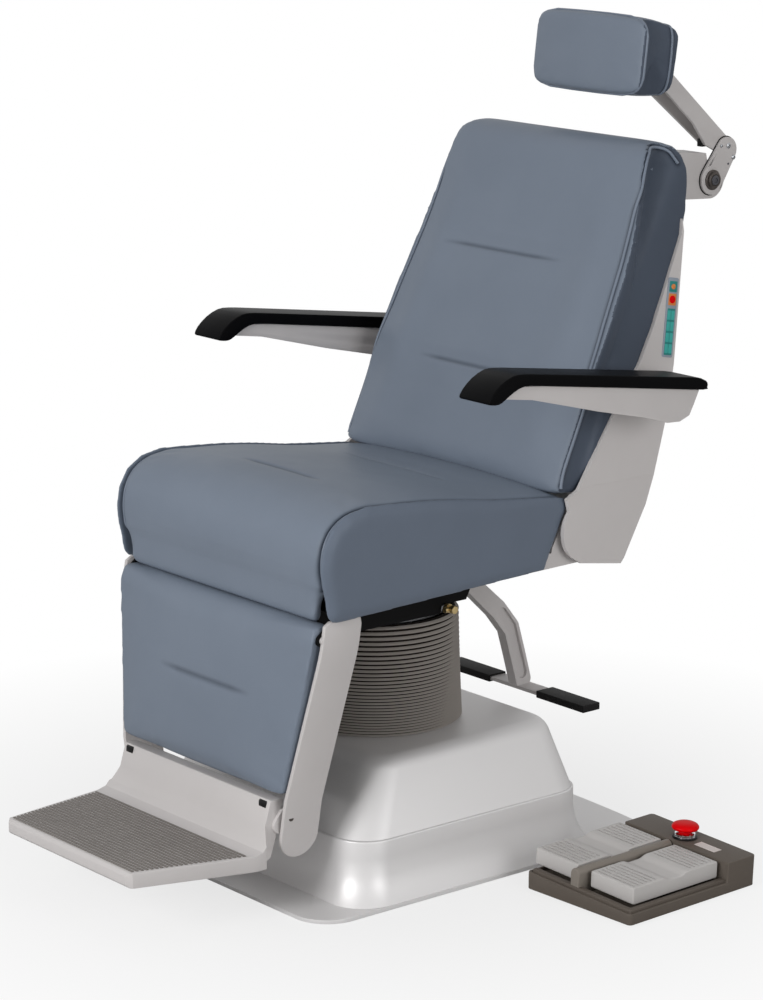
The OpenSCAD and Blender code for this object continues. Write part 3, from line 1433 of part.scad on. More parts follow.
module control_case() {
    hw = control_w / 2;
    hl = control_l / 2;
    inner = hw - case_wall - 2;
    color(case_taupe) difference() {
        on_control() translate([0, 0, case_foot_h]) linear_extrude(deck_z + case_margin)
            round_rect(-hw, -hl, hw, hl, 6);
        on_slope() block([-control_l, -control_l, deck_z], [control_l, control_l, 2 * control_l]);
        on_slope() block([-control_l, -control_l, rim_z], [control_l, hl - deck_l, 2 * control_l]);
        on_slope() block([-inner, -hl + case_wall + 2, well_z], [inner, hl - deck_l - 2, deck_z]);
        on_slope() block([-inner, hl - deck_l + case_wall, well_z], [inner, hl - case_wall,
            deck_z - case_wall]);
        on_control() block([-inner, -hl + case_wall + 2, case_foot_h + case_wall], [inner, hl - case_wall - 2,
            well_z - case_foot_h - 2 * case_wall]);
        on_slope() translate([stop_x, stop_y, deck_z - case_wall - overrun])
            cylinder(r = stem_r + run_gap, h = case_wall + 2 * overrun);
    }
}

module control_feet() {
    color(moulded_black) on_control() for (x = [-1, 1]) for (y = [-1, 1])
        translate([x * (control_w / 2 - 18), y * (control_l / 2 - 18), 0])
            cylinder(r = case_foot_r, h = case_foot_h);
}

module control_divider() {
    front_y = -control_l / 2 + case_wall + 2;
    rear_y = control_l / 2 - deck_l - 2;
    color(case_taupe) on_slope() difference() {
        union() {
            block([divider_x - divider_w / 2, front_y, well_z], [divider_x + divider_w / 2, rear_y, divider_z]);
            y_bar(front_y, rear_y, divider_x, divider_z, divider_w / 2);
        }
        x_bar(divider_x - divider_w, divider_x + divider_w, pedal_y, pedal_pin_z, pedal_pin_r);
    }
}

module pedal_pin() {
    inner = control_w / 2 - case_wall - 2;
    color(steel_grey) on_slope() x_bar(-inner, inner, pedal_y, pedal_pin_z, pedal_pin_r);
}

// Rocker pedal centred on its own pin
module pedal() {
    half = pedal_l / 2;
    color(pedal_grey) difference() {
        union() {
            side(-pedal_w / 2, pedal_w / 2) polygon([[-half, pedal_foot_z], [half, pedal_foot_z],
                [half, pedal_top_z - 1], [half - 1, pedal_top_z], [pedal_dip_l, pedal_top_z],
                [pedal_dip_l / 2, pedal_top_z - pedal_dip], [-pedal_dip_l / 2, pedal_top_z - pedal_dip],
                [-pedal_dip_l, pedal_top_z], [-half + 1, pedal_top_z], [-half, pedal_top_z - 1]]);
            for (s = [-1, 1]) for (i = [0:pedal_rib_count - 1])
                translate([-pedal_w / 2 + 4, s * (half - 7 - i * pedal_rib_pitch) - pedal_rib_w / 2, pedal_top_z])
                    cube([pedal_w - 8, pedal_rib_w, pedal_rib_h]);
        }
        for (y = [-half + 3, pedal_dip_l / 2 + 2]) translate([-pedal_w / 2 + 3, y, pedal_foot_z - overrun])
            cube([pedal_w - 6, half - pedal_dip_l / 2 - 5, pedal_top_z - pedal_foot_z - 5]);
        x_bar(-pedal_w, pedal_w, 0, pedal_pin_z, pedal_pin_r + run_gap);
    }
}

module pedal_right() {
    on_slope() translate([pedal_right_x, pedal_y, 0]) pedal();
}

module pedal_left() {
    on_slope() translate([pedal_left_x, pedal_y, 0]) pedal();
}

module stop_collar() {
    color(steel_grey) on_slope() translate([stop_x, stop_y, deck_z]) difference() {
        cylinder(r = collar_r, h = collar_h);
        translate([0, 0, -overrun]) cylinder(r = stem_r + run_gap, h = collar_h + 2 * overrun);
    }
}

module stop_button() {
    head_z = deck_z + collar_h + stop_travel + touch_gap;
    stem_z = deck_z - case_wall - stop_travel;
    color(signal_red) on_slope() translate([stop_x, stop_y, 0]) {
        translate([0, 0, stem_z]) cylinder(r = stem_r, h = head_z - stem_z + overrun);
        translate([0, 0, head_z]) rotate_extrude() polygon([[0, 0],
            [stop_d * 0.36, 0], [stop_d * 0.48, 2.5], [stop_d / 2, 5], [stop_d * 0.47, 7.5], [stop_d * 0.36, 9.4],
            [stop_d * 0.2, 10.6], [0, 11]]);
    }
}

// Output

base_plate();
lower_housing();
upper_housing();
column_tube();
guide_bushes();
column_bolts();
lift_barrel();
pump_unit();
control_box();
mains_inlet();
bellows();
lift_tube();
lift_plunger();
swivel_ring();
seat_frame();
seat_pan();
seat_plates();
seat_cushion();
seat_skirts();
recline_barrel();
hose_fitting();
leg_pins();
drive_bar();
recline_shaft();
back_plates();
back_board();
back_cover();
back_cushion();
keypad();
head_bracket();
arm_hub();  // arm_hub_right
arm_shell();  // arm_shell_right
arm_cap();  // arm_cap_right
mirror([1, 0, 0]) arm_hub();  // arm_hub_left
mirror([1, 0, 0]) arm_shell();  // arm_shell_left
mirror([1, 0, 0]) arm_cap();  // arm_cap_left
leg_arms();
leg_board();
leg_cushion();
foot_screws();
foot_bracket();
foot_tread();
head_links();
head_arm();
head_knob();
head_screws();
head_bumper();
head_board();
head_cushion();
lever_post();
lever_grips();
control_case();
control_feet();
control_divider();
pedal_pin();
pedal_right();
pedal_left();
stop_collar();
stop_button();
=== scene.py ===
"""Looks of the ophthalmic examination chair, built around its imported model.

Lengths of the pieces are written in millimetres and placed in metres. +Z is up, the front of the
chair faces -Y and +X is the side nearer the camera.
"""

import json
import logging
import math
from collections.abc import Callable, Iterable, Sequence
from dataclasses import dataclass, replace
from enum import Enum

import bmesh
import bpy
import numpy as np
from bpy.types import Material, Mesh, Node, NodeTree, Object
from mathutils import Matrix, Vector
from mathutils.kdtree import KDTree

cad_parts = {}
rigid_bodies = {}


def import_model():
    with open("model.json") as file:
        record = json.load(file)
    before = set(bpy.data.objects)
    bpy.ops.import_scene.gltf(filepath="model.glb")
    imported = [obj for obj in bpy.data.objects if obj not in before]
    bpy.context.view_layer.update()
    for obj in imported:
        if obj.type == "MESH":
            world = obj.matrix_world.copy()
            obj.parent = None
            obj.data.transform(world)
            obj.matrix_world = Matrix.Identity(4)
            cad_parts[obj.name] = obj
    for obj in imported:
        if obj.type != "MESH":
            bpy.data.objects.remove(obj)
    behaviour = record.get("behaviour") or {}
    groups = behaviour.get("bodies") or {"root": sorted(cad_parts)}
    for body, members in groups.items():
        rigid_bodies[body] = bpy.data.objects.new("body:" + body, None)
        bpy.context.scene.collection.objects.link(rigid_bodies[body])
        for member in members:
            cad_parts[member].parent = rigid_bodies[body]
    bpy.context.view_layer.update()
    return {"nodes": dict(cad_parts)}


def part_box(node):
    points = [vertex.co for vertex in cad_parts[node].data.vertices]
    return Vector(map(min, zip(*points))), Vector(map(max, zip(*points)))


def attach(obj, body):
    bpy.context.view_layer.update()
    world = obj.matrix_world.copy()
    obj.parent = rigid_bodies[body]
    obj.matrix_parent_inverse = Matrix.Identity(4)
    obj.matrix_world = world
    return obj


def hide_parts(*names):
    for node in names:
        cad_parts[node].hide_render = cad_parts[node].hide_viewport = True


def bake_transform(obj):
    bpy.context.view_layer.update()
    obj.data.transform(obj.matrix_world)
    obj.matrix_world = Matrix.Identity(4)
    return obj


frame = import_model()

log = logging.getLogger("chair")

MM = 0.001
WELD = 2e-5
SMOOTH_ANGLE = math.radians(38)
SOFT_ANGLE = math.radians(80)
ACROSS, REARWARD, UPWARD = Vector((1, 0, 0)), Vector((0, 1, 0)), Vector((0, 0, 1))

Flat = tuple[float, float]
Triple = tuple[float, float, float]


# --------------------------------------------------------------------------- bench tools


def mm(x: float, y: float, z: float) -> Vector:
    """A point given in millimetres, in metres."""
    return Vector((x, y, z)) * MM


def clear_selection() -> None:
    """Leaves edit mode and selects nothing."""
    if bpy.context.object is not None and bpy.context.object.mode != "OBJECT":
        bpy.ops.object.mode_set(mode="OBJECT")
    bpy.ops.object.select_all(action="DESELECT")


def take_up(piece: Object) -> None:
    """Makes a piece the only one selected, and the active one."""
    clear_selection()
    piece.select_set(True)
    bpy.context.view_layer.objects.active = piece


def settle(piece: Object) -> None:
    """Moves a piece's place into its mesh, so that its object stands at the origin."""
    take_up(piece)
    bpy.ops.object.transform_apply(location=True, rotation=True, scale=True)


def enter_edit(kind: str = "", action: str = "SELECT") -> None:
    """Goes into edit mode.

    Args:
        kind: Blender's name for what is picked from here on; blank keeps the last kind.
        action: Whether everything or nothing is picked at the start.
    """
    bpy.ops.object.mode_set(mode="EDIT")
    if kind:
        bpy.ops.mesh.select_mode(type=kind)
    bpy.ops.mesh.select_all(action=action)


def leave_edit() -> None:
    """Goes back to object mode."""
    bpy.ops.object.mode_set(mode="OBJECT")


def pull(by: Vector) -> None:
    """Pulls what is picked out by a vector in metres, with new faces round it."""
    bpy.ops.mesh.extrude_region_move(TRANSFORM_OT_translate={"value": by})


def round_picked(width: float, segments: int, clamp: bool = False) -> None:
    """Rounds the picked edges, with the width in millimetres, and leaves edit mode."""
    bpy.ops.mesh.bevel(offset=width * MM, segments=segments, affect="EDGES", clamp_overlap=clamp)
    leave_edit()


def close_up(piece: Object) -> None:
    """Merges doubled points and turns all faces outwards."""
    take_up(piece)
    enter_edit()
    bpy.ops.mesh.remove_doubles(threshold=WELD)
    bpy.ops.mesh.normals_make_consistent(inside=False)
    leave_edit()


def relax(piece: Object, passes: int) -> None:
    """Averages a piece's points with their neighbours, some times over."""
    take_up(piece)
    enter_edit()
    bpy.ops.mesh.vertices_smooth(factor=0.5, repeat=passes)
    leave_edit()


def remesh(piece: Object, voxel: float) -> None:
    """Gives a piece an even skin, whose faces have a width in millimetres."""
    take_up(piece)
    piece.data.remesh_voxel_size = voxel * MM
    bpy.ops.object.voxel_remesh()


def smooth(piece: Object, angle: float = SMOOTH_ANGLE) -> None:
    """Shades a piece smooth across every edge flatter than an angle."""
    take_up(piece)
    bpy.ops.object.shade_smooth_by_angle(angle=angle)


def applied(piece: Object, kind: str, **settings: object) -> None:
    """Adds a modifier with its settings, and applies it.

    Args:
        piece: The piece that is worked on.
        kind: Blender's name for the kind of modifier.
        **settings: The modifier's own values.
    """
    take_up(piece)
    modifier = piece.modifiers.new(kind.title(), kind)
    for key, value in settings.items():
        setattr(modifier, key, value)
    bpy.ops.object.modifier_apply(modifier=modifier.name)


def eased(piece: Object, width: float, segments: int = 2, angle: float = 30.0) -> Object:
    """Rounds the sharp edges of a piece.

    Args:
        piece: The piece that is worked on.
        width: Width of the round in millimetres.
        segments: Steps of the round.
        angle: Least turn of an edge in degrees that is rounded.

    Returns:
        The same piece, shaded smooth.
    """
    applied(piece, "BEVEL", width=width * MM, segments=segments, limit_method="ANGLE",
            angle_limit=math.radians(angle), use_clamp_overlap=True, miter_outer="MITER_ARC")
    smooth(piece)
    return piece


def wire(name: str, points: Sequence[Vector]) -> Object:
    """Draws a chain of points, each one pulled out of the last.

    Args:
        name: Name of the new piece.
        points: Places of the points in metres.

    Returns:
        A piece of edges only, with its place in its mesh.
    """
    clear_selection()
    bpy.ops.mesh.primitive_plane_add(size=MM, location=points[0])
    piece = bpy.context.object
    piece.name = name
    enter_edit("VERT")
    bpy.ops.mesh.merge(type="CENTER")
    for start, end in zip(points, points[1:]):
        bpy.ops.mesh.extrude_vertices_move(TRANSFORM_OT_translate={"value": end - start})
    settle(piece)
    return piece


def drawn(name: str, points: Sequence[Vector], push: Vector) -> Object:
    """Draws an outline, fills it and pulls it out to a solid.

    Args:
        name: Name of the new piece.
        points: The outline's points in metres, in order.
        push: How far the filled outline is pulled out, in metres.

    Returns:
        The closed solid.
    """
    piece = wire(name, points)
    enter_edit()
    bpy.ops.mesh.edge_face_add()
    pull(push)
    leave_edit()
    close_up(piece)
    return piece


def turned(name: str, profile: Sequence[Flat], centre: Vector, axis: Vector, steps: int = 48) -> Object:
    """Turns a profile about an axis, as on a lathe.

    Args:
        name: Name of the new piece.
        profile: Pairs of radius and height along the axis, in millimetres.
        centre: Foot of the axis in metres.
        axis: Direction of the axis.
        steps: Steps of the full turn.

    Returns:
        The turned piece.
    """
    along = axis.normalized()
    out = along.orthogonal().normalized()
    points = [centre + along * (high * MM) + out * (radius * MM) for radius, high in profile]
    piece = wire(name, points)
    enter_edit()
    bpy.ops.mesh.spin(steps=steps, angle=2 * math.pi, center=centre, axis=along)
    leave_edit()
    close_up(piece)
    smooth(piece)
    return piece


def faces_up(at: Vector, normal: Vector) -> bool:
    """Whether a face with this middle and normal looks upwards."""
    return normal.z > 0.9


def faces_down(at: Vector, normal: Vector) -> bool:
    """Whether a face with this middle and normal looks downwards."""
    return normal.z < -0.9


def runs_up(a: Vector, b: Vector) -> bool:
    """Whether an edge between two points isn't level."""
    return abs(a.z - b.z) > 1e-4


def pick_faces(piece: Object, test: Callable[[Vector, Vector], bool]) -> None:
    """Goes into edit mode and picks faces.

    Args:
        piece: The piece that is worked on.
        test: Says of a face's middle and normal whether it is picked.
    """
    enter_edit("FACE", "DESELECT")
    form = bmesh.from_edit_mesh(piece.data)
    for face in form.faces:
        face.select_set(bool(test(face.calc_center_median(), face.normal)))
    bmesh.update_edit_mesh(piece.data)


def pick_edges(piece: Object, test: Callable[[Vector, Vector], bool]) -> None:
    """Goes into edit mode and picks edges.

    Args:
        piece: The piece that is worked on.
        test: Says of an edge's two ends whether it is picked.
    """
    enter_edit("EDGE", "DESELECT")
    form = bmesh.from_edit_mesh(piece.data)
    for edge in form.edges:
        edge.select_set(bool(test(edge.verts[0].co, edge.verts[1].co)))
    bmesh.update_edit_mesh(piece.data)


def block(name: str, low: Vector, high: Vector) -> Object:
    """A box between two corners, as a start for a shape."""
    clear_selection()
    bpy.ops.mesh.primitive_cube_add(size=1, location=(low + high) / 2)
    piece = bpy.context.object
    piece.name = name
    piece.scale = high - low
    settle(piece)
    return piece


def copied_node(name: str, *nodes: str) -> Object:
    """A merged copy of CAD nodes, with their flat faces made whole.

    Args:
        name: Name of the new piece.
        *nodes: The CAD nodes that are copied.

    Returns:
        The new piece, which holds all of them.
    """
    copies = []
    for node in nodes:
        copy = bpy.data.objects.new(name, frame["nodes"][node].data.copy())
        bpy.context.scene.collection.objects.link(copy)
        copies.append(copy)
    clear_selection()
    for copy in copies:
        copy.select_set(True)
    piece = copies[0]
    bpy.context.view_layer.objects.active = piece
    if len(copies) > 1:
        bpy.ops.object.join()
    piece.name = name
    piece.data.materials.clear()
    bpy.ops.mesh.customdata_custom_splitnormals_clear()
    enter_edit()
    bpy.ops.mesh.remove_doubles(threshold=WELD)
    bpy.ops.mesh.dissolve_limited(angle_limit=math.radians(0.6))
    leave_edit()
    return piece


def node_box(node: str) -> tuple[Vector, Vector]:
    """The lower and the upper corner of a CAD node's box, in metres."""
    low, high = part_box(node)
    return Vector(low), Vector(high)


def cut_out(piece: Object, tool: Object) -> None:
    """Cuts a tool's shape out of a piece, and removes the tool."""
    applied(piece, "BOOLEAN", operation="DIFFERENCE", object=tool, solver="EXACT")
    bpy.data.objects.remove(tool)


def cast(name: str, node: str, width: float, segments: int = 2) -> Object:
    """A CAD node's shape with its hard edges eased, as on a cast or moulded part."""
    return eased(copied_node(name, node), width, segments)


def joined(name: str, pieces: Sequence[Object]) -> Object:
    """Several pieces made one."""
    clear_selection()
    for piece in pieces:
        piece.select_set(True)
    bpy.context.view_layer.objects.active = pieces[0]
    bpy.ops.object.join()
    pieces[0].name = name
    return pieces[0]


def copied(piece: Object, name: str, matrix: Matrix) -> Object:
    """A copy of a piece at another place, with a mesh of its own."""
    twin = piece.copy()
    twin.data = piece.data.copy()
    twin.name = name
    bpy.context.scene.collection.objects.link(twin)
    twin.data.transform(matrix)
    return twin


def mirrored(piece: Object, name: str) -> Object:
    """The same piece on the other side of the chair, with a mesh of its own."""
    twin = copied(piece, name, Matrix.Scale(-1, 4, ACROSS))
    twin.data.flip_normals()
    return twin


def belt(a: Flat, a_radius: float, b: Flat, b_radius: float, steps: int = 14) -> list[Flat]:
    """The outline of a belt round two circles.

    Args:
        a: Middle of the first circle.
        a_radius: Its radius.
        b: Middle of the second circle.
        b_radius: Its radius.
        steps: Steps of each round end.

    Returns:
        The outline's points, in order.
    """
    between = Vector(b) - Vector(a)
    heading = math.atan2(between.y, between.x)
    lean = math.acos((a_radius - b_radius) / between.length)
    found: list[Flat] = []
    for (x, y), radius, start, end in ((a, a_radius, lean, 2 * math.pi - lean), (b, b_radius, -lean, lean)):
        for k in range(steps + 1):
            angle = heading + start + (end - start) * k / steps
            found.append((x + radius * math.cos(angle), y + radius * math.sin(angle)))
    return found


def rounded(points: Sequence[Flat], radius: float, steps: int = 5) -> list[Flat]:
    """An outline with its corners rounded.

    Args:
        points: The outline's corners.
        radius: Most radius of a corner, in the points' unit.
        steps: Steps of each round.

    Returns:
        The longer list of points.
    """
    found: list[Flat] = []
    for i, here in enumerate(points):
        corner = Vector(here)
        back = Vector(points[i - 1]) - corner
        on = Vector(points[(i + 1) % len(points)]) - corner
        reach = min(radius, back.length * 0.45, on.length * 0.45)
        start, end = corner + back.normalized() * reach, corner + on.normalized() * reach
        for k in range(steps + 1):
            t = k / steps
            found.append(tuple(start * (1 - t) ** 2 + corner * (2 * t * (1 - t)) + end * t * t))
    return found


def tree_of(points: Sequence[Vector]) -> KDTree:
    """A tree that finds the nearest of some points."""
    tree = KDTree(len(points))
    for i, point in enumerate(points):
        tree.insert(point, i)
    tree.balance()
    return tree


def in_side(points: Sequence[Flat], x: float) -> list[Vector]:
    """Pairs of y and z in millimetres as points in the plane at x."""
    return [mm(x, y, z) for y, z in points]


def eased_path(points: Sequence[Vector], rounds: int = 3, closed: bool = False) -> list[Vector]:
    """A path with its corners cut, ever finer.

    Args:
        points: The path's points.
        rounds: How often each corner is cut.
        closed: Whether the last point joins the first.

    Returns:
        The finer path.
    """
    path = [point.copy() for point in points]
    for _ in range(rounds):
        pairs = list(zip(path, path[1:] + path[:1])) if closed else list(zip(path, path[1:]))
        cut = [a.lerp(b, share) for a, b in pairs for share in (0.25, 0.75)]
        path = cut if closed else [path[0], *cut, path[-1]]
    return path


def laid_on(piece: Object, path: Sequence[Vector], lift: float = 0.0) -> list[Vector]:
    """A path dropped onto a piece's surface.

    Args:
        piece: The piece that it lies on.
        path: The path's points.
        lift: Height of the path above the surface, in metres.

    Returns:
        The path's points on the surface.
    """
    laid = []
    for point in path:
        _, place, normal, _ = piece.closest_point_on_mesh(point)
        laid.append(place + normal * lift)
    return laid


def pushed_on(piece: Object, line: Sequence[Vector]) -> list[Vector]:
    """A line in front of a piece, moved straight back onto it."""
    found = []
    for point in line:
        hit, place, _, _ = piece.ray_cast(point, REARWARD)
        found.append(place if hit else point)
    return found


def evened(path: Sequence[Vector], passes: int = 4, closed: bool = False) -> list[Vector]:
    """A path whose small kinks are averaged away, with its ends kept."""
    line = [point.copy() for point in path]
    for _ in range(passes):
        last = len(line) - 1
        line = [point if not closed and i in (0, last)
                else (line[i - 1] + point * 2 + line[(i + 1) % len(line)]) / 4
                for i, point in enumerate(line)]
    return line


def corded(name: str, path: Sequence[Vector], radius: float, closed: bool = False) -> Object:
    """A round cord along a path, as a mesh.

    Args:
        name: Name of the new piece.
        path: The points that it follows, in metres.
        radius: Radius of the cord in millimetres.
        closed: Whether it joins into a ring.

    Returns:
        The cord.
    """
    curve = bpy.data.curves.new(name, "CURVE")
    curve.dimensions = "3D"
    curve.bevel_depth = radius * MM
    curve.bevel_resolution = 2
    curve.use_fill_caps = not closed
    spline = curve.splines.new("POLY")
    spline.points.add(len(path) - 1)
    spline.use_cyclic_u = closed
    for point, place in zip(spline.points, path):
        point.co = (*place, 1)
    piece = bpy.data.objects.new(name, curve)
    bpy.context.scene.collection.objects.link(piece)
    take_up(piece)
    bpy.ops.object.convert(target="MESH")
    piece = bpy.context.object
    close_up(piece)
    smooth(piece, math.radians(60))
    return piece


def split_at(piece: Object, places: Iterable[Vector], normal: Vector) -> None:
    """Splits all faces of a piece along planes, without opening it.

    Args:
        piece: The piece that is worked on.
        places: A point on each plane.
        normal: The planes' common normal.
    """
    take_up(piece)
    enter_edit("FACE")
    for place in places:
        bpy.ops.mesh.select_all(action="SELECT")
        bpy.ops.mesh.bisect(plane_co=place, plane_no=normal)
    leave_edit()


# --------------------------------------------------------------------------- upholstery work


def coordinates(mesh: Mesh) -> np.ndarray:
    """The places of a mesh's points."""
    places = np.zeros(len(mesh.vertices) * 3)
    mesh.vertices.foreach_get("co", places)
    return places.reshape(-1, 3)


def normals(mesh: Mesh) -> np.ndarray:
    """The outward directions of a mesh's points."""
    found = np.zeros(len(mesh.vertices) * 3)
    mesh.vertex_normals.foreach_get("vector", found)
    return found.reshape(-1, 3)


def set_coordinates(mesh: Mesh, places: np.ndarray) -> None:
    """Puts a mesh's points at new places."""
    mesh.vertices.foreach_set("co", places.reshape(-1))
    mesh.update()


@dataclass(frozen=True)
class Padding:
    """How a pad is filled: the grid of its skin, its pressure and how far it may swell."""

    voxel: float = 6.0
    shrink: float = 2.0
    pressure: float = 4.0
    swell: float = 8.0
    frames: int = 20
    fill: float = 0.75
    side_ease: float = 0.6

    def skin(self, piece: Object) -> None:
        """Gives the piece an even skin, slightly smaller than its start."""
        remesh(piece, self.voxel)
        relax(piece, 4)
        mesh = piece.data
        set_coordinates(mesh, coordinates(mesh) - normals(mesh) * self.shrink * MM)

    def inflate(self, piece: Object, held: Callable[[Vector, Vector], bool]) -> None:
        """Blows the pad up with Blender's cloth, and caps how far it swells.

        Args:
            piece: The pad with its even skin.
            held: Says of a point and its normal whether it rests on something.
        """
        take_up(piece)
        group = piece.vertex_groups.new(name="held")
        group.add([v.index for v in piece.data.vertices if held(v.co, v.normal)], 1.0, "REPLACE")
        before = coordinates(piece.data)
        outward = normals(piece.data)
        cloth = piece.modifiers.new("Cloth", "CLOTH")
        cloth.settings.quality = 4
        cloth.settings.mass = 0.3
        cloth.settings.tension_stiffness = 20
        cloth.settings.compression_stiffness = 20
        cloth.settings.shear_stiffness = 8
        cloth.settings.bending_stiffness = 2
        cloth.settings.vertex_group_mass = "held"
        cloth.settings.use_pressure = True
        cloth.settings.uniform_pressure_force = self.pressure
        cloth.settings.effector_weights.gravity = 0
        cloth.point_cache.frame_start = 1
        cloth.point_cache.frame_end = self.frames
        for step in range(1, self.frames + 1):
            bpy.context.scene.frame_set(step)
        bpy.ops.object.modifier_apply(modifier=cloth.name)
        bpy.context.scene.frame_set(1)
        moved = coordinates(piece.data) - before
        aside = np.abs(outward[:, :1])
        moved *= 1 - self.side_ease * np.clip((aside - 0.5) / 0.3, 0, 1)
        length = np.linalg.norm(moved, axis=1, keepdims=True) + 1e-9
        most = self.swell * MM
        set_coordinates(piece.data, before + moved / length * most * np.tanh(length / most))
        piece.vertex_groups.clear()

    def stuffed(self, piece: Object, held: Callable[[Vector, Vector], bool]) -> None:
        """Skins, fills and refines a pad.

        Args:
            piece: The closed start of the pad.
            held: Says of a point and its normal whether it rests on something.
        """
        self.skin(piece)
        self.inflate(piece, held)
        relax(piece, 3)
        applied(piece, "SUBSURF", levels=1, render_levels=1)


def near_lines(lines: Sequence[Sequence[Vector]], reach: float) -> Callable[[Vector], bool]:
    """A test of whether a point lies near any of several lines.

    Args:
        lines: The lines, as close rows of points.
        reach: How near is near, in millimetres.

    Returns:
        The test.
    """
    tree = tree_of([point for line in lines for point in line])
    return lambda at: tree.find(at)[2] < reach * MM


def fitted(piece: Object, node: str, allow: float = 0.0) -> None:
    """Stretches a pad so that it fills its CAD solid's box.

    Args:
        piece: The pad.
        node: The CAD node whose box it fills.
        allow: How far it may stand proud of the box, in millimetres.
    """
    low, high = (np.array(corner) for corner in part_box(node))
    low, high = low - allow * MM, high + allow * MM
    places = coordinates(piece.data)
    least, most = places.min(axis=0), places.max(axis=0)
    set_coordinates(piece.data, low + (places - least) / (most - least) * (high - low))


@dataclass(frozen=True)
class Seam:
    """A line that is sewn into a pad, with how deep and wide it draws the skin in, and how much painted shade
    (dark) it lays in the crease.
    """

    path: tuple[Vector, ...]
    depth: float = 1.8
    width: float = 3.5
    # dark: share of painted crease shade along the seam.
    dark: float = 1.0
    fade: float = 0.0


def sewn(piece: Object, seams: Iterable[Seam]) -> None:
    """Draws the skin in along seams, and keeps how near each point is, as a share of painted crease shade, in an
    attribute.

    Args:
        piece: The pad.
        seams: The seams to sew.
    """
    mesh = piece.data
    places, outward = coordinates(mesh), normals(mesh)
    shade = np.zeros(len(places))
    for seam in seams:
        path = seam.path
        tree = tree_of(path)
        reach = 3 * seam.width * MM
        low = np.min([tuple(p) for p in path], axis=0) - reach
        high = np.max([tuple(p) for p in path], axis=0) + reach
        near = np.where(np.all((places > low) & (places < high), axis=1))[0]
        ends = max(1, int(seam.fade * len(path)))
        for i in near:
            _, which, away = tree.find(places[i])
            if away > reach:
                continue
            share = math.exp(-((away / (seam.width * MM)) ** 2))
            if seam.fade:
                share *= min(1.0, which / ends, (len(path) - 1 - which) / ends)
            places[i] -= outward[i] * seam.depth * MM * share
            shade[i] = max(shade[i], share * seam.dark)
    set_coordinates(mesh, places)
    # The attribute "seam" holds each point's share of painted crease shade.
    attribute = mesh.attributes.get("seam") or mesh.attributes.new("seam", "FLOAT", "POINT")
    attribute.data.foreach_set("value", shade.astype(np.float32))


def row(start: Vector, end: Vector) -> list[Vector]:
    """Points at even distances on a straight line."""
    return [start.lerp(end, k / 40) for k in range(41)]


def dense(path: Sequence[Vector], step: float = 1.0) -> tuple[Vector, ...]:
    """A path with a point every so many millimetres."""
    found: list[Vector] = []
    for a, b in zip(path, path[1:]):
        count = max(1, int((b - a).length / (step * MM)))
        found += [a.lerp(b, k / count) for k in range(count)]
    return (*found, path[-1])


# --------------------------------------------------------------------------- finishes


def linear(code: str) -> Triple:
    """A colour written as six hexadecimal digits, in linear light."""
    parts = [int(code[i:i + 2], 16) / 255 for i in (0, 2, 4)]
    return tuple(p / 12.92 if p <= 0.04045 else ((p + 0.055) / 1.055) ** 2.4 for p in parts)


def shader_node(tree: NodeTree, kind: str, **values: object) -> Node:
    """Adds a shader node and sets its properties and input values.

    Args:
        tree: The material's node tree.
        kind: Name of the node's type, without its first word.
        **values: Properties by name, and inputs by name with spaces as underscores.

    Returns:
        The new node.
    """
    made = tree.nodes.new(f"ShaderNode{kind}")
    for key, value in values.items():
        if hasattr(made, key):
            setattr(made, key, value)
        else:
            made.inputs[key.replace("_", " ")].default_value = value
    return made


class Grain(Enum):
    """The fine relief of a finish."""

    HIDE = "hide"
    PEEL = "peel"
    MOULDED = "moulded"
    BRUSHED = "brushed"


